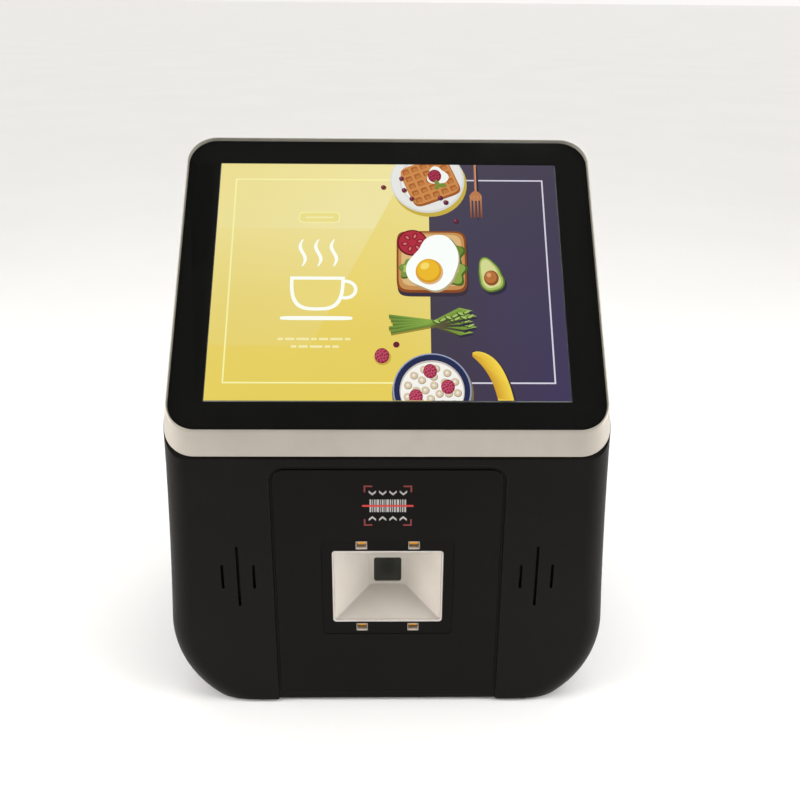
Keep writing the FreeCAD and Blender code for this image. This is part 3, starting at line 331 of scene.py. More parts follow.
half_width = picture_width / 2
field_edge = 25.2
shade_yellow = "c9ae47"
shade_indigo = "322c3c"
bar(-half_width, field_edge, 0.0, picture_height, "f3da7c", "e9cf60", "e7cc5b", "f0e096")
bar(field_edge, half_width, 0.0, picture_height, "4c4556", "453b49", "42395a", "484153")
# Painted reflection: lighter bands over the yellow field's upper left stand for glare on the cover glass,
# painted into the picture's colour.
glare_top = 13.6
glare_slant = 0.478  # how far its edge runs sideways for each millimetre up
glare_tones = (("ead271", "ead271"), ("ecd67e", "ecd680"), ("f0de92", "f0df98"), ("f2e3a4", "f2e4a8"))
glare_levels = (34.0, 70.0, 112.0, picture_height)
for index in range(3):
    low = glare_levels[index]
    high = glare_levels[index + 1]
    ends = [glare_top - (picture_height - level) * glare_slant for level in (low, high)]
    paint(
        [(-half_width, low), (ends[0], low), (ends[1], high), (-half_width, high)],
        *glare_tones[index],
        *reversed(glare_tones[index + 1]),
    )

frame_left = -96.0
frame_right = 97.5
frame_low = 10.4
frame_high = 147.4
frame_line = 0.95
light_line = "fbf3ab"
pale_line = "d8d2e2"
for low, high in ((frame_low, frame_low + frame_line), (frame_high - frame_line, frame_high)):
    bar(frame_left, field_edge, low, high, light_line)
    bar(field_edge, frame_right, low, high, pale_line)
bar(frame_left, frame_left + frame_line, frame_low, frame_high, light_line)
bar(frame_right - frame_line, frame_right, frame_low, frame_high, pale_line)

# A label, a cup drawn in lines and two rows of short dashes stand in place of words.
field_tone = "edd77e"
line_tone = "fffef6"
label_x = -42.7
label_up = 119.8
paint(disc(label_x, label_up, 12.6, 3.9, corner=6.0), "fbf2ac")
paint(disc(label_x, label_up, 12.0, 3.3, corner=6.0), "eedd8c")
bar(label_x - 8.6, label_x + 8.6, label_up - 0.5, label_up + 0.5, "f8edb0")
steam_foot = 86.0
steam_height = 18.4
steam_sway = 1.7
steam_steps = 16
for shift in (-9.5, 0.0, 9.5):
    left_side = []
    right_side = []
    for step in range(steam_steps + 1):
        share = step / steam_steps
        up = steam_foot + steam_height * share
        sway = steam_sway * math.sin(math.tau * share)
        half = 1.2 * math.sin(math.pi * (0.12 + 0.76 * share))  # thin at both ends
        left_side.append((label_x + shift + sway - half, up))
        right_side.append((label_x + shift + sway + half, up))
    paint(left_side + right_side[::-1], line_tone)
cup_top = 79.0
cup_half = 16.5
cup_depth = 22.5
stroke = 2.1
handle_x = label_x + cup_half + 0.5
handle_up = cup_top - 8.6
for inset, code in ((0.0, line_tone), (stroke, field_tone)):
    paint(disc(handle_x, handle_up, 7.2 - inset, 6.6 - inset), code)
for inset, code in ((0.0, line_tone), (stroke, field_tone)):
    bowl = disc(label_x, cup_top, cup_half - inset, cup_depth - inset, corner=3.2)
    paint([(x, min(up, cup_top - inset)) for x, up in bowl], code)
paint(disc(label_x, 51.6, 21.5, 1.3, corner=5.0), line_tone)
for up, left, right in ((38.2, -65.0, -21.0), (33.4, -57.0, -29.0)):
    start = left
    step = 0
    while start < right:
        length = 3.2 + 2.1 * (step * 7 % 3)
        bar(start, min(start + length, right), up - 0.75, up + 0.75, "f7ebb0")
        start = start + length + 1.3
        step = step + 1

# Waffle on a plate, with a berry.
plate_x = 24.6
plate_up = 146.8
paint(disc(plate_x + 1.2, plate_up - 2.6, 23.6), shade_yellow, shade_yellow)
paint(disc(plate_x, plate_up, 23.4), "dcd8d6")
paint(disc(plate_x - 0.4, plate_up + 0.6, 22.4), "e9e6e4")
paint(disc(plate_x, plate_up, 17.6), "d5d0ce")
paint(disc(plate_x + 0.2, plate_up - 0.4, 16.9), "efecea")
waffle_turn = 22.0
paint(disc(plate_x + 2.0, plate_up - 1.0, 16.0, 14.6, waffle_turn, 7.0), "a05a2c")
paint(disc(plate_x + 1.4, plate_up + 0.2, 15.6, 14.2, waffle_turn, 7.0), "d18a4e")
swing = math.radians(waffle_turn)
for column in range(5):
    for row in range(5):
        across = (column - 2) * 5.9
        along = (row - 2) * 5.4
        px = plate_x + 1.4 + across * math.cos(swing) - along * math.sin(swing)
        py = plate_up + 0.2 + across * math.sin(swing) + along * math.cos(swing)
        paint(disc(px, py, 2.1, 1.9, waffle_turn, 5.0), "a9602f")
        paint(disc(px + 0.4, py - 0.5, 1.5, 1.3, waffle_turn, 5.0), "c17a41")
paint(blob(plate_x + 6.0, plate_up + 2.5, (7.5, 6.0, 8.0, 5.5, 6.5, 5.0, 6.0)), "f7f3f0")
berry(plate_x + 4.6, plate_up + 3.2, 4.2, "7d1c33", "b43a55")
paint(blob(plate_x + 7.0, plate_up - 3.6, (5.0, 1.6, 4.2, 1.4, 3.6, 1.5)), "7c8b3a")
crumbs = (
    (8.2, 148.0), (9.8, 139.6), (14.6, 133.4), (35.8, 131.0), (32.4, 134.2), (-3.2, 141.6), (41.9, 117.6),
)
for px, py in crumbs:
    paint(disc(px + 0.3, py - 0.4, 1.7), "8a6f3a" if px < field_edge else shade_indigo)
    paint(disc(px, py, 1.5), "6b2135")
    paint(disc(px - 0.4, py + 0.4, 0.6), "9d5266")

# Fork.
fork_x = 54.9
paint(disc(fork_x + 0.9, 138.0, 1.0, 20.0), shade_indigo)
bar(fork_x - 0.9, fork_x + 0.5, 137.0, picture_height, "a8643d", "a8643d", "d99f78", "d99f78")
paint(blob(fork_x - 0.2, 135.4, (3.8, 3.4, 3.9, 3.4, 3.8, 3.9, 3.4, 3.9)), "bd7a50")
for index in range(4):
    tine = fork_x - 3.9 + 2.15 * index
    bar(tine, tine + 1.0, 120.0, 135.6, "7c4028", "8a4a2e", "c98a62", "c98a62")

# Toast with leaves, a slice of tomato and a fried egg.
toast_x = 26.4
toast_up = 89.4
paint(disc(toast_x + 0.6, toast_up - 2.4, 21.6, 21.2, corner=8.0), "8d7433", "3b3140")
paint(disc(toast_x, toast_up, 21.4, 21.0, corner=8.0), "8c4a22")
paint(disc(toast_x, toast_up + 0.4, 20.2, 19.6, corner=8.0), "c98f55")
paint(disc(toast_x, toast_up + 1.0, 18.4, 17.6, corner=7.0), "dfb67e")
leaf_reaches = (11.0, 8.2, 11.6, 7.6, 10.4, 8.0, 12.0, 8.6, 11.2, 7.8)
leaves = ((37.0, 94.0, 1.0, "6f8a35"), (38.4, 82.0, 0.95, "8fa84b"), (12.6, 84.0, 0.62, "7a9440"))
for px, py, size, tone in leaves:
    paint(blob(px, py, [reach * size for reach in leaf_reaches], 20.0), "4d6626")
    paint(blob(px - 0.5, py + 0.6, [reach * size * 0.9 for reach in leaf_reaches], 20.0), tone)
    paint(blob(px - 0.6, py + 0.8, [reach * size * 0.5 for reach in leaf_reaches], 5.0), "a9bf62")
paint(disc(14.8, 102.2, 9.4, 9.0), "6f1526")
paint(disc(14.8, 102.4, 8.4, 8.0), "b22f3f")
for step in range(6):
    angle = math.tau * step / 6 + 0.2
    px = 14.8 + 4.7 * math.cos(angle)
    py = 102.4 + 4.5 * math.sin(angle)
    paint(disc(px, py, 2.3, 1.5, math.degrees(angle)), "8a1c2c")
    paint(disc(px, py, 1.3, 0.7, math.degrees(angle)), "d9747a")
egg = blob(26.6, 88.4, (16.4, 18.6, 20.4, 17.6, 12.4, 12.6, 15.8, 17.8, 17.0, 18.6, 17.0, 15.4), 8.0)
paint(moved(egg, 0.7, -1.3), "b9a684")
paint(egg, "fffffd")
paint(disc(24.9, 82.4, 8.4, 8.6), "e0b48a")
paint(disc(24.5, 83.1, 7.7, 8.1), "dd9a20")
paint(disc(24.2, 83.7, 6.8, 7.0), "efb92e")
paint(disc(22.2, 86.4, 2.8, 2.2, 30.0), "f8dc6c")

# Half an avocado.
pear_reaches = (7.2, 8.0, 10.4, 14.6, 9.8, 7.6, 7.4, 8.6, 9.6, 9.4, 9.6, 8.4)
pear_turn = 18.0
paint(blob(63.4, 76.6, pear_reaches, pear_turn), shade_indigo)
paint(blob(62.2, 78.6, pear_reaches, pear_turn), "5f7a33")
paint(blob(62.1, 78.8, [reach - 0.9 for reach in pear_reaches], pear_turn), "a9bb5f")
paint(blob(62.0, 79.0, [reach - 2.2 for reach in pear_reaches], pear_turn), "d6d793")
paint(disc(62.4, 78.4, 4.5, 5.1), "8e4d25")
paint(disc(62.0, 79.0, 3.6, 4.1), "b8713c")
paint(disc(61.0, 80.4, 1.3, 1.5), "dba36c")

# A bundle of asparagus: thin stalks that cross, and scaly tips that spread.
for index in range(5):
    start = 0.4 + 1.1 * (index % 3)
    foot_up = 53.0 - 2.6 * index
    tip_up = 42.6 + 3.5 * index
    tip_x = 50.4 + 2.4 * (index % 2)
    neck = 25.0
    neck_up = 49.6 - 0.5 * index
    stalk = [(start, foot_up - 1.1), (neck, neck_up - 1.3), (neck, neck_up + 1.3), (start, foot_up + 1.1)]
    shoulder = tip_x - 8.0
    head = [
        (neck, neck_up - 1.5),
        (shoulder, tip_up - 2.0),
        (tip_x, tip_up),
        (shoulder, tip_up + 2.0),
        (neck, neck_up + 1.5),
    ]
    paint(moved(stalk, 0.3, -1.2), "9a8a3a")
    paint(moved(head, 0.6, -1.4), "6a6338", shade_indigo, shade_indigo, shade_indigo, "6a6338")
    paint(stalk, "4f6a28", "5f7f30", "8fb04e", "7b9c44")
    paint(head, "5d7a2c", "6f8c33", "9ab858", "88a445", "86a448")
    for scale in range(6):
        share = (scale + 1) / 7
        along = neck + (tip_x - neck) * share
        level = neck_up + (tip_up - neck_up) * share
        slant = 28.0 if scale % 2 else -20.0
        paint(disc(along, level + 0.3, 2.6, 1.1, slant), "3f561f")
        paint(disc(along + 0.3, level + 0.6, 2.1, 0.75, slant), "a9c06a")

# Berries, a bowl of cereal in milk and a banana.
paint(disc(-3.2, 26.6, 5.0), shade_yellow)
berry(-3.6, 27.6, 4.3, "8f2340", "c4506a")
paint(disc(4.8, 34.6, 1.9), "6b2135")
bowl_x = 25.4
bowl_up = 6.4
paint(disc(bowl_x + 0.4, bowl_up - 2.0, 23.6), "7d7048")
paint(disc(bowl_x, bowl_up, 22.8), "9aa0bd")
paint(disc(bowl_x, bowl_up, 22.0), "262c50")
paint(disc(bowl_x, bowl_up - 0.4, 18.8), "c8bdb6")
paint(disc(bowl_x, bowl_up - 1.0, 18.2), "f7f2ee")
for ring, count in ((14.6, 13), (9.4, 8), (4.2, 4)):
    for step in range(count):
        angle = math.tau * (step + 0.2 * ring) / count
        px = bowl_x + ring * math.cos(angle)
        py = bowl_up - 1.0 + ring * math.sin(angle)
        paint(disc(px + 0.2, py - 0.3, 2.4), "a78e78")
        paint(disc(px, py, 2.2), "d9c3a6")
        paint(disc(px, py, 0.9), "efe6de")
for px, py in ((24.4, 18.0), (34.6, 8.4), (16.0, 2.4)):
    berry(px, py, 4.0, "8f2340", "c4506a")
banana_bend = ((49.4, 28.6), (64.6, 25.6), (68.8, -6.0))
banana = [[], []]
banana_steps = 21
for step in range(banana_steps):
    share = step / (banana_steps - 1)
    weights = ((1 - share) ** 2, 2 * share * (1 - share), share**2)
    slopes = (share - 1, 1 - 2 * share, share)
    x, up = [sum(weight * point[axis] for weight, point in zip(weights, banana_bend)) for axis in (0, 1)]
    run, climb = [sum(slope * point[axis] for slope, point in zip(slopes, banana_bend)) for axis in (0, 1)]
    half = 1.1 + 3.4 * math.sin(math.pi * min(0.5, share)) ** 0.6
    for side in (0, 1):
        reach = half * (1 - 2 * side) / math.hypot(run, climb)
        banana[side].append((x - climb * reach, up + run * reach))
banana = banana[0] + banana[1][::-1]
paint(moved(banana, 1.4, -1.2), shade_indigo)
paint(banana, *["f3d24c"] * banana_steps, *["cf9a2c"] * banana_steps)
banana_light = []  # a lighter stripe along its middle
for index, ((x, up), (far_x, far_up)) in enumerate(zip(banana, reversed(banana))):
    lift = 0.9 if index < banana_steps else 0.0
    banana_light.append(((x + far_x) / 2, (up + far_up) / 2 + lift))
paint(banana_light, "ecc23e")

picture_mesh = bpy.data.meshes.new("screen_picture")
picture_mesh.from_pydata(shape_points, [], [list(face) for face in shape_faces])
tones = picture_mesh.color_attributes.new("tone", "FLOAT_COLOR", "CORNER")
tones.data.foreach_set("color", [part for shape in shape_colours for tone in shape for part in tone])
screen_picture = bpy.data.objects.new("screen_picture", picture_mesh)
bpy.context.collection.objects.link(screen_picture)


# A lit liquid-crystal panel: flat colour with the backlight's slight unevenness and a faint grid.
# The real cells are 0.26 mm, drawn at 1.2 mm.
WAVE_SPAN = 10.0  # turns a line's pitch into the wave pattern's scale


def lit_panel(name, cell, dip):
    made, tree = new_material(name)
    where = placed(tree, WITH_SCREEN)
    tone = add(tree, "ShaderNodeVertexColor", layer_name="tone").outputs["Color"]
    glow = spread(tree, speckle(tree, where, 60.0), 1.07, 1.1)
    for axis in ("X", "Y"):
        inputs = {"Vector": where, "Scale": math.tau / (WAVE_SPAN * cell)}
        lines = add(tree, "ShaderNodeTexWave", inputs, bands_direction=axis).outputs["Fac"]
        kept = spread(tree, lines, 1.0 - dip, 1.0, 0.0, 0.4)
        glow = add(tree, "ShaderNodeMath", {0: glow, 1: kept}, operation="MULTIPLY").outputs[0]
    light = add(tree, "ShaderNodeEmission", {"Color": tone, "Strength": glow})
    add(tree, "ShaderNodeOutputMaterial", {"Surface": light.outputs[0]})
    return made


picture_mesh.materials.append(lit_panel("lit liquid-crystal panel", 1.2, 0.025))
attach(screen_picture, "terminal")

# ---------------------------------------------------------------- bezel
# One moulded ring round the glass, painted satin silver with a warm tint. Spigots behind it hold
# the bracket screws.

# Metallic paint: fine flakes lift a warm grey, the clear coat keeps the highlight soft.
silver_paint = surface(
    "warm silver paint, satin",
    ("a39d93", "ada79d"),
    (0.3, 0.4),
    grain=0.7,
    relief=0.006,
    patch=40.0,
    constants={"Metallic": 0.22, "Coat Weight": 0.12, "Coat Roughness": 0.25},
)
band_height = 9.25  # square to the glass
band_flare = 1.9  # wider at its underside by this much at each side
band_run = 12.05  # its front follows the body's face, so the underside comes forward
lip_foot = 1.6
lip_head = 0.8
bezel_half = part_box("display_bezel")[1].x / MM - band_flare
lip_low = -glass_bottom_margin - lip_foot
lip_high = picture_height + glass_top_margin + lip_head
lip_round = 17.6


def rim(half, low, high, radius, level):
    """Points round a rounded rectangle on the slope, as many for every size."""
    points = []
    for side_x, side_up, start in ((1, 1, 0), (-1, 1, 90), (-1, -1, 180), (1, -1, 270)):
        corner_up = high - radius if side_up > 0 else low + radius
        for step in range(13):
            angle = math.radians(start + 90 * step / 12)
            x = side_x * (half - radius) + radius * math.cos(angle)
            points.append(on_slope(x, corner_up + radius * math.sin(angle), level))
    return points


def wall_rim(level, inset):
    """The bezel's outside at one depth under the glass, moved inwards."""
    share = -level / band_height
    return rim(
        bezel_half + band_flare * share - inset,
        lip_low - band_run * share + inset,
        lip_high + band_flare * share - inset,
        lip_round + band_flare / 2 * share - inset,
        level,
    )


def looped(name, loops, finish):
    """A closed ring with a face between each two neighbouring loops, with crisp edges kept crisp."""
    count = len(loops[0])
    faces = []
    for turn in range(len(loops)):
        here = turn * count
        following = (turn + 1) % len(loops) * count
        for place in range(count):
            beyond = (place + 1) % count
            faces.append((here + place, here + beyond, following + beyond, following + place))
    mesh = bpy.data.meshes.new(name)
    mesh.from_pydata([point for loop in loops for point in loop], [], faces)
    shaped = bmesh.new()
    shaped.from_mesh(mesh)
    bmesh.ops.recalc_face_normals(shaped, faces=shaped.faces)
    shaped.to_mesh(mesh)
    shaped.free()
    mesh.shade_smooth()
    mesh.set_sharp_from_angle(angle=math.radians(32.0))
    mesh.materials.append(finish)
    made = bpy.data.objects.new(name, mesh)
    bpy.context.collection.objects.link(made)
    return made


edge_round = 0.45
pocket_inset = 0.5  # the glass's pocket, from the bezel's outside
pocket_gap = 0.1
window_half = 118.6
window_low_edge = -9.8
window_high_edge = 168.2
window_round = 2.0
quarter = [math.radians(90 * step / 4) for step in range(5)]
bezel_loops = []  # rounded foot, then up the wall, then the rounded lip, the pocket and the window
for angle in reversed(quarter):
    level = -band_height + edge_round * (1 - math.sin(angle))
    bezel_loops.append(wall_rim(level, edge_round * (1 - math.cos(angle))))
for angle in quarter:
    bezel_loops.append(wall_rim(-edge_round * (1 - math.sin(angle)), edge_round * (1 - math.cos(angle))))
pocket = (
    bezel_half - pocket_inset,
    -glass_bottom_margin - pocket_gap,
    lip_high - lip_head + pocket_gap,
    lip_round - pocket_inset,
)
window = (window_half, window_low_edge, window_high_edge, window_round)
for outline, level in ((pocket, 0.0), (pocket, -panel_depth), (window, -panel_depth), (window, -band_height)):
    bezel_loops.append(rim(*outline, level))
bezel = looped("bezel", bezel_loops, silver_paint)
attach(bezel, "terminal")
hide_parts("display_bezel")

# ---------------------------------------------------------------- scanner
# The black cover panel, a separate frame, a white moulded light funnel, the camera and four
# light-emitting diodes in their own small windows.

# Finer texture than the shells, so a touch darker and smoother.
panel_black = surface(
    "black ABS, fine matt texture",
    ("0b0908", "0e0c0a"),
    (0.36, 0.47),
    grain=0.7,
    relief=0.008,
    constants={"Specular IOR Level": 0.09},
)
coat(panel_black, "scanner_fascia")

frame_black = surface(
    "black polycarbonate, semi-gloss",
    ("0a0908", "0d0c0a"),
    (0.34, 0.44),
    grain=1.2,
    relief=0.003,
    constants={"Specular IOR Level": 0.08},
)
coat(frame_black, "scan_frame", "scan_engine")

# Satin polycarbonate reflector: warm pale grey, slightly translucent, softly lit inside.
funnel_white = surface(
    "white polycarbonate reflector, satin",
    ("c9c2be", "d1cbc8"),
    (0.4, 0.55),
    grain=1.0,
    relief=0.004,
    constants={"Subsurface Weight": 0.1, "Subsurface Scale": 0.004},
)
coat(funnel_white, "scan_reflector")

# The small liners in the lamp windows are greyer and duller than the reflector.
liner_grey = surface(
    "grey-white polycarbonate liner",
    ("a39c91", "b1aa9f"),
    (0.5, 0.65),
    grain=0.8,
    relief=0.004,
)
coat(liner_grey, "lamp_wells")

# The window has an anti-reflection coat, so it mirrors less than the cover glass.
window_clear = clear_sheet("clear acrylic window, coated", "fdfdfb", (0.02, 0.06), 12.0, index=1.2)
coat(window_clear, "scan_window")


# Dark filter glass over the camera.
ring_reach = 6.8  # the rings' share of this radius is given with each shade


def filter_glass(name, middle):
    """Dark glass with the lens showing through as soft rings round that point."""
    made, tree = new_material(name)
    spot = add(tree, "ShaderNodeTexCoord").outputs["Object"]
    away = add(tree, "ShaderNodeVectorMath", {0: spot, 1: middle}, operation="DISTANCE").outputs["Value"]
    inputs = {"Value": away, "From Min": 0.0, "From Max": ring_reach * MM}
    share = add(tree, "ShaderNodeMapRange", inputs).outputs["Result"]
    ramp = add(tree, "ShaderNodeValToRGB", {"Fac": share})
    stops = (
        (0.0, "262623"),
        (0.2, "21211e"),
        (0.32, "11110f"),
        (0.5, "131311"),
        (0.56, "2a2a26"),
        (0.68, "2c2c28"),
        (0.73, "191917"),
        (0.82, "1b1b19"),
        (0.88, "2c2c28"),
        (1.0, "2f2f2a"),
    )
    marks = ramp.color_ramp.elements
    marks[0].color = linear(stops[0][1])
    marks[1].color = linear(stops[-1][1])
    for place, code in stops[1:-1]:
        marks.new(place).color = linear(code)
    fine = speckle(tree, placed(tree), 1.4)
    inputs = {
        "Base Color": ramp.outputs["Color"],
        "Roughness": spread(tree, fine, 0.3, 0.42),
        "Specular IOR Level": 0.03,
    }
    return finished(made, inputs)


window_low, window_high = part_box("camera_window")
ring_rise = 1.5  # the rings' middle lies above the window's
ring_middle = (window_low + window_high) / 2 + Vector((0.0, 0.0, ring_rise * MM))
coat(filter_glass("dark filter glass over the lens", ring_middle), "camera_window")

lens_dark = surface(
    "coated lens glass",
    ("0c0d10", "181a22"),
    (0.04, 0.08),
    grain=2.0,
    relief=0.0005,
    patch=5.0,
    constants={"Coat Weight": 0.6, "Coat Roughness": 0.03},
)
coat(lens_dark, "camera_lens")

# White solder mask on the lamp boards.
mask_white = surface("white solder mask", ("ddd8cf", "e8e4dc"), (0.3, 0.42), grain=1.1, relief=0.01)
coat(mask_white, "lamp_boards")


# Amber phosphor: a warm lamp lens. Its faint, uneven glow is painted light that brightens the phosphor's
# shaded lower half.
def amber_painted_glow(name):
    made, tree = new_material(name)
    where = placed(tree)
    cloud = speckle(tree, where, 1.6)
    colour = between(tree, spread(tree, cloud, 0.0, 1.0), linear("dc9428"), linear("efb04a"))
    bump = add(tree, "ShaderNodeBump", {"Height": cloud, "Distance": 0.01 * MM})
    inputs = {
        "Base Color": colour,
        "Emission Color": colour,
        # painted light: this emission lifts the phosphor out of its shade
        "Emission Strength": 0.45,
        "Roughness": spread(tree, cloud, 0.2, 0.32),
        "Normal": bump.outputs["Normal"],
    }
    return finished(made, inputs)


# Each lamp is a pale moulded package with a hollow filled by the phosphor. One package is shaped
# once and repeated on the four lamp places.
lamp_half = 2.85
lamp_half_height = 1.5
lamp_height = 0.9
lamp_rim = 0.3
package_edge = 0.08
hollow_slope = 0.1
hollow_depth = 0.25
fill_inset = lamp_rim + 0.05
face_turn = math.radians(82.5)  # flat drawing to the leaning front face


def drawn(name, faces_of):
    """A small mesh from a function that fills a bmesh in millimetres."""
    shaped = bmesh.new()
    faces_of(shaped)
    bmesh.ops.scale(shaped, vec=(MM, MM, MM), verts=shaped.verts)
    bmesh.ops.recalc_face_normals(shaped, faces=shaped.faces)
    mesh = bpy.data.meshes.new(name)
    shaped.to_mesh(mesh)
    shaped.free()
    return bpy.data.objects.new(name, mesh)


def package_shape(shaped):
    bmesh.ops.create_cube(shaped, size=1.0)
    bmesh.ops.scale(shaped, vec=(2 * lamp_half, 2 * lamp_half_height, lamp_height), verts=shaped.verts)
    bmesh.ops.bevel(shaped, geom=list(shaped.edges), offset=package_edge, segments=2, affect="EDGES")
    top = max(shaped.faces, key=lambda face: face.calc_center_median().z * face.calc_area())
    bmesh.ops.inset_region(shaped, faces=[top], thickness=lamp_rim, depth=0.0)
    bmesh.ops.inset_region(shaped, faces=[top], thickness=hollow_slope, depth=-hollow_depth)


def phosphor_shape(shaped):
    """A slightly domed fill just under the package's rim."""
    rings = []
    for reach, level in ((1.0, -0.2), (0.8, -0.1), (0.4, -0.06)):
        across = (lamp_half - fill_inset) * reach
        upward = (lamp_half_height - fill_inset) * reach
        outline = disc(0.0, 0.0, across, upward, corner=7.0)
        rings.append([shaped.verts.new((x, up, lamp_height / 2 + level)) for x, up in outline])
    for outer, inner in zip(rings, rings[1:]):
        for place in range(len(outer)):
            shaped.faces.new((outer[place - 1], outer[place], inner[place], inner[place - 1]))
    shaped.faces.new(rings[-1])
    shaped.faces.new(rings[0][::-1])


def lamp_places():
    """The middle of each of the four CAD lamps."""
    points = [vertex.co.copy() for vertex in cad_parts["scan_lamps"].data.vertices]
    middle = sum(points, Vector()) / len(points)
    groups = {}
    for point in points:
        groups.setdefault((point.x > middle.x, point.z > middle.z), []).append(point)
    return [sum(group, Vector()) / len(group) for _, group in sorted(groups.items())]


def repeated(name, places, turn, parts):
    """Copies of each (source object, material) pair on all the places, made with Geometry Nodes."""
    tree = bpy.data.node_groups.new(name, "GeometryNodeTree")
    tree.interface.new_socket("Places", in_out="INPUT", socket_type="NodeSocketGeometry")
    turn_socket = tree.interface.new_socket("Turn", in_out="INPUT", socket_type="NodeSocketVector")
    tree.interface.new_socket("Geometry", in_out="OUTPUT", socket_type="NodeSocketGeometry")
    given = add(tree, "NodeGroupInput")
    whole = add(tree, "GeometryNodeJoinGeometry")
    for source, finish in parts:
        shape = add(tree, "GeometryNodeObjectInfo", {"Object": source}).outputs["Geometry"]
        inputs = {"Points": given.outputs["Places"], "Instance": shape, "Rotation": given.outputs["Turn"]}
        copies = add(tree, "GeometryNodeInstanceOnPoints", inputs).outputs["Instances"]
        real = add(tree, "GeometryNodeRealizeInstances", {"Geometry": copies}).outputs["Geometry"]
        painted = add(tree, "GeometryNodeSetMaterial", {"Geometry": real, "Material": finish})
        tree.links.new(painted.outputs["Geometry"], whole.inputs["Geometry"])
    add(tree, "NodeGroupOutput", {"Geometry": whole.outputs["Geometry"]})
    seeds = bpy.data.meshes.new(name)
    seeds.from_pydata(places, [], [])
    holder = bpy.data.objects.new(name, seeds)
    bpy.context.collection.objects.link(holder)
    modifier = holder.modifiers.new(name, "NODES")
    modifier.node_group = tree
    modifier[turn_socket.identifier] = turn
    evaluated = holder.evaluated_get(bpy.context.evaluated_depsgraph_get())
    mesh = bpy.data.meshes.new_from_object(evaluated)
    holder.modifiers.clear()
    holder.data = mesh
    return holder


package_white = surface("white lamp package", ("aaa498", "bab4a8"), (0.3, 0.4), grain=0.9, relief=0.003)
lamps = repeated(
    "lamp_packages",
    lamp_places(),
    (face_turn, 0.0, 0.0),
    [
        (drawn("package", package_shape), package_white),
        (drawn("phosphor", phosphor_shape), amber_painted_glow("amber phosphor")),
    ],
)
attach(lamps, "terminal")
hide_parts("scan_lamps")

# ---------------------------------------------------------------- scan symbol
# Pad-printed marks on the cover panel: red corners, pale bars and a red beam across them.

ink_red = surface("red pad-printing ink", ("6c1d1a", "7c2421"), (0.4, 0.5), grain=0.8, relief=0.004)
ink_white = surface(
    "pale grey pad-printing ink",
    ("9e9c9a", "b2b0ad"),
    (0.45, 0.55),
    grain=0.8,
    relief=0.004,
)
ink_beam = surface(
    "bright red pad-printing ink",
    ("b82824", "c6322d"),
    (0.35, 0.45),
    grain=0.8,
    relief=0.004,
)
coat(ink_red, "symbol_brackets")
coat(ink_white, "symbol_bars")
coat(ink_beam, "symbol_beam")

# ---------------------------------------------------------------- speakers
# Two small loudspeakers behind the slots: pressed steel baskets, paper cones, ferrite magnets.

basket_steel = surface("black pressed steel", ("1b1b1c", "242425"), (0.4, 0.52), grain=1.2, relief=0.008)
coat(basket_steel, "speaker_basket_left", "speaker_basket_right")

# Pressed paper pulp: dull, fibrous, charcoal grey.
cone_paper = surface(
    "pressed paper cone",
    ("1e1d1c", "2b2a28"),
    (0.8, 0.95),
    grain=0.5,
    relief=0.05,
    patch=3.0,
)
coat(cone_paper, "speaker_cone_left", "speaker_cone_right")

ferrite = surface("sintered ferrite", ("27272a", "323236"), (0.6, 0.75), grain=0.7, relief=0.03)
coat(ferrite, "speaker_magnet_left", "speaker_magnet_right")

# ---------------------------------------------------------------- power button
# A gloss black cap on a stem, pushed back by a small coil spring. It slides inwards by 1.2 mm.

cap_black = surface("black ABS, polished", ("0d0d0e", "121213"), (0.08, 0.18), grain=1.6, relief=0.002)
coat(cap_black, "power_button")

# Hard-drawn spring wire: grey steel with drawing lines.
spring_wire = surface(
    "drawn spring steel",
    ("85878a", "a3a5a8"),
    (0.25, 0.4),
    grain=0.3,
    relief=0.006,
    constants={"Metallic": 1.0},
)
coat(spring_wire, "button_spring")

# ---------------------------------------------------------------- ports
# Nickel-plated shells on the main board's rear edge and black moulded sockets.

nickel = surface(
    "nickel-plated shell",
    ("b9b6ae", "cbc8c0"),
    (0.18, 0.32),
    grain=0.9,
    relief=0.004,
    constants={"Metallic": 1.0},
)
coat(nickel, "usb_port_left", "usb_port_right", "lan_port")
socket_black = surface(
    "black glass-filled nylon",
    ("161616", "202020"),
    (0.45, 0.6),
    grain=0.7,
    relief=0.012,
)
coat(socket_black, "video_port", "power_inlet", "power_switch", "ribbon_sockets")


# ---------------------------------------------------------------- boards
# Green fibreglass boards with copper tracks under the mask, black chips and a finned heat sink.

# Green mask: brighter where it lies over copper tracks.
def board_mask(name, base, track):
    made, tree = new_material(name)
    where = placed(tree)
    cells = add(tree, "ShaderNodeTexVoronoi", {"Vector": where, "Scale": 0.22}, distance="MANHATTAN")
    fine = speckle(tree, where, 0.9)
    lines = add(tree, "ShaderNodeTexWave", {"Vector": where, "Scale": 0.25}, bands_direction="X")
    pads = spread(tree, cells.outputs["Distance"], 0.0, 1.0, 0.35, 0.4)
    tracks = spread(tree, lines.outputs["Fac"], 0.0, 1.0, 0.5, 0.55)
    shown = add(tree, "ShaderNodeMath", {0: pads, 1: tracks}, operation="MULTIPLY").outputs[0]
    bump = add(tree, "ShaderNodeBump", {"Height": shown, "Distance": 0.03 * MM})
    inputs = {
        "Base Color": between(tree, shown, linear(base), linear(track)),
        "Roughness": spread(tree, fine, 0.28, 0.42),
        "Normal": bump.outputs["Normal"],
    }
    return finished(made, inputs)


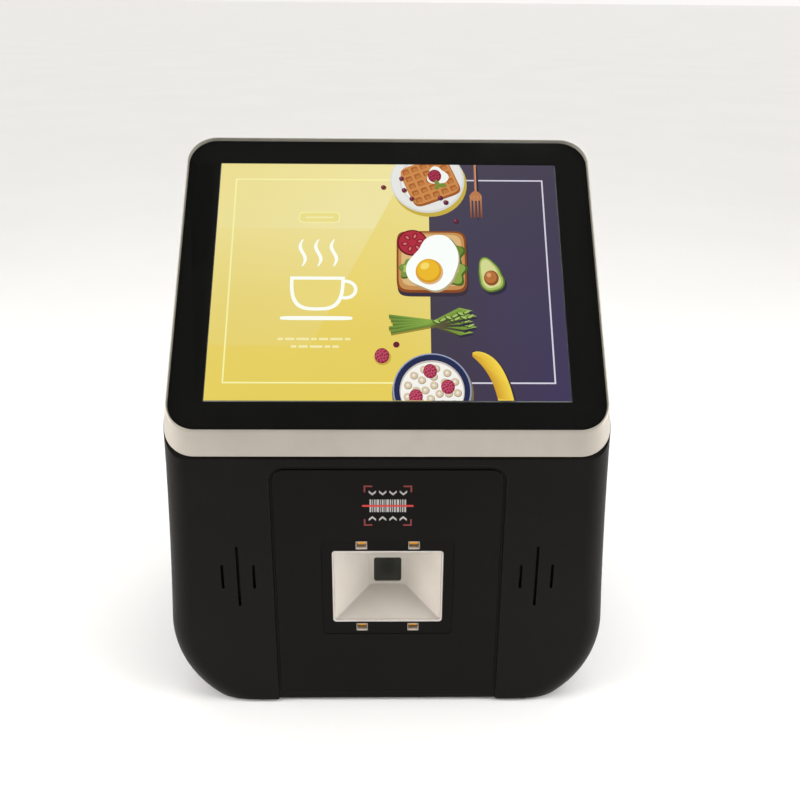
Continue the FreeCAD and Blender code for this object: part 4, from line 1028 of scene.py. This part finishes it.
coat(board_mask("green solder mask over copper", "10452c", "1c6a41"), "main_board", "touch_board")
coat(surface("black epoxy chip", ("141415", "1c1c1d"), (0.55, 0.7), grain=0.6, relief=0.01), "board_chips")
anodised = surface(
    "black anodised aluminium",
    ("17171a", "202024"),
    (0.35, 0.5),
    grain=0.8,
    relief=0.006,
    stretch=(1.0, 0.1, 1.0),
    constants={"Metallic": 0.6},
)
coat(anodised, "heat_sink")
brass = surface(
    "turned brass",
    ("b08d4a", "c49f58"),
    (0.25, 0.38),
    grain=0.5,
    relief=0.005,
    constants={"Metallic": 1.0},
)
coat(brass, "board_standoffs")
ribbon_film = surface(
    "flat cable, tinned tracks in film",
    ("b9b7b0", "d6d4cc"),
    (0.25, 0.4),
    grain=0.8,
    relief=0.01,
    patch=1.0,
    stretch=(1.0, 0.02, 0.02),
)
coat(ribbon_film, "display_ribbon", "scanner_ribbon")

# ---------------------------------------------------------------- screws and feet
# Zinc-plated and black machine screws, steel nuts held in the base, and turned rubber feet.

zinc = surface(
    "zinc-plated steel",
    ("9a9da0", "b4b6b8"),
    (0.25, 0.4),
    grain=0.6,
    relief=0.006,
    constants={"Metallic": 1.0},
)
coat(zinc, "bracket_screws", "board_screws", "engine_screws", "front_screws", "base_screws", "fixing_nuts")
black_oxide = surface(
    "black oxide steel",
    ("1d1d1f", "2a2a2c"),
    (0.35, 0.5),
    grain=0.6,
    relief=0.008,
    constants={"Metallic": 0.8},
)
coat(black_oxide, "cover_screws")
rubber = surface("black rubber", ("161616", "1f1e1d"), (0.8, 0.92), grain=0.8, relief=0.03)
coat(rubber, "rubber_feet")

# ---------------------------------------------------------------- stage
# A plain pale floor, a soft sky that is darker overhead and in front, broad suns from both sides
# and from above, two low soft boxes that brighten the floor beside the terminal, and the camera.

floor_mesh = bpy.data.meshes.new("floor")
reach = 80.0
floor_corners = [(-reach, -reach, 0), (reach, -reach, 0), (reach, reach, 0), (-reach, reach, 0)]
floor_mesh.from_pydata(floor_corners, [], [(0, 1, 2, 3)])
floor = bpy.data.objects.new("floor", floor_mesh)
bpy.context.collection.objects.link(floor)
floor_paint = surface(
    "pale painted floor",
    ("f6f6f5", "f9f9f8"),
    (0.85, 0.95),
    grain=6.0,
    relief=0.004,
    patch=400.0,
)
floor_mesh.materials.append(floor_paint)

horizon_glow = 0.98
overhead_glow = 0.14
front_glow = 0.75  # share of it that is left straight in front
world = bpy.data.worlds.new("soft studio")
world.use_nodes = True
sky = world.node_tree
sky.nodes.clear()
direction = add(sky, "ShaderNodeTexCoord").outputs["Generated"]
height = add(sky, "ShaderNodeSeparateXYZ", {"Vector": direction}).outputs["Z"]
rise = spread(sky, height, horizon_glow, overhead_glow, 0.02, 0.75)
depth = add(sky, "ShaderNodeSeparateXYZ", {"Vector": direction}).outputs["Y"]
front = spread(sky, depth, front_glow, 1.0, -0.9, -0.3)
glow = add(sky, "ShaderNodeMath", {0: rise, 1: front}, operation="MULTIPLY").outputs[0]
backdrop = add(sky, "ShaderNodeBackground", {"Color": linear("fffdfb"), "Strength": glow})
add(sky, "ShaderNodeOutputWorld", {"Surface": backdrop.outputs[0]})
bpy.context.scene.world = world

for name, source, energy, spread_angle, tint in (
    ("right side light", (0.95, -0.3, 0.06), 2.3, 40.0, "fffaf6"),
    ("left side light", (-0.95, -0.3, 0.06), 2.1, 40.0, "fff5ea"),
    ("top light", (0.1, 0.45, 0.88), 1.6, 70.0, "fffefc"),
):
    lamp = bpy.data.lights.new(name, "SUN")
    lamp.energy = energy
    lamp.angle = math.radians(spread_angle)
    lamp.color = linear(tint)[:3]
    holder = bpy.data.objects.new(name, lamp)
    holder.rotation_euler = Vector(source).to_track_quat("Z", "Y").to_euler()
    bpy.context.collection.objects.link(holder)

for side in (-1, 1):
    panel = bpy.data.lights.new("low soft box", "AREA")
    panel.shape = "RECTANGLE"
    panel.size = 0.5
    panel.size_y = 1.1
    panel.energy = 6.0
    holder = bpy.data.objects.new("low soft box", panel)
    place = Vector((0.85 * side, -0.2, 0.5))
    lit_spot = Vector((0.36 * side, -0.2, 0.0))
    holder.location = place
    holder.rotation_euler = (place - lit_spot).to_track_quat("Z", "Y").to_euler()
    bpy.context.collection.objects.link(holder)

camera_data = bpy.data.cameras.new("camera")
camera_data.lens = 36.42
camera_data.sensor_width = 36.0
camera_data.clip_start = 0.01
camera = bpy.data.objects.new("camera", camera_data)
bpy.context.collection.objects.link(camera)
look_down = math.radians(26.456)
look_aside = math.radians(1.014)
roll = math.radians(0.569)
level_ahead = Vector((math.sin(look_aside), math.cos(look_aside), 0.0))
ahead = level_ahead * math.cos(look_down) - Vector((0.0, 0.0, math.sin(look_down)))
right = Vector((math.cos(look_aside), -math.sin(look_aside), 0.0))
above = right.cross(ahead)
rolled_right = right * math.cos(roll) + above * math.sin(roll)
rolled_above = above * math.cos(roll) - right * math.sin(roll)
turned = Matrix((rolled_right, rolled_above, -ahead)).transposed()
eye = Vector((-0.51, -462.06, 400.66)) * MM
camera.matrix_world = Matrix.Translation(eye) @ turned.to_4x4()
bpy.context.scene.camera = camera
bpy.context.scene.view_settings.view_transform = "Standard"
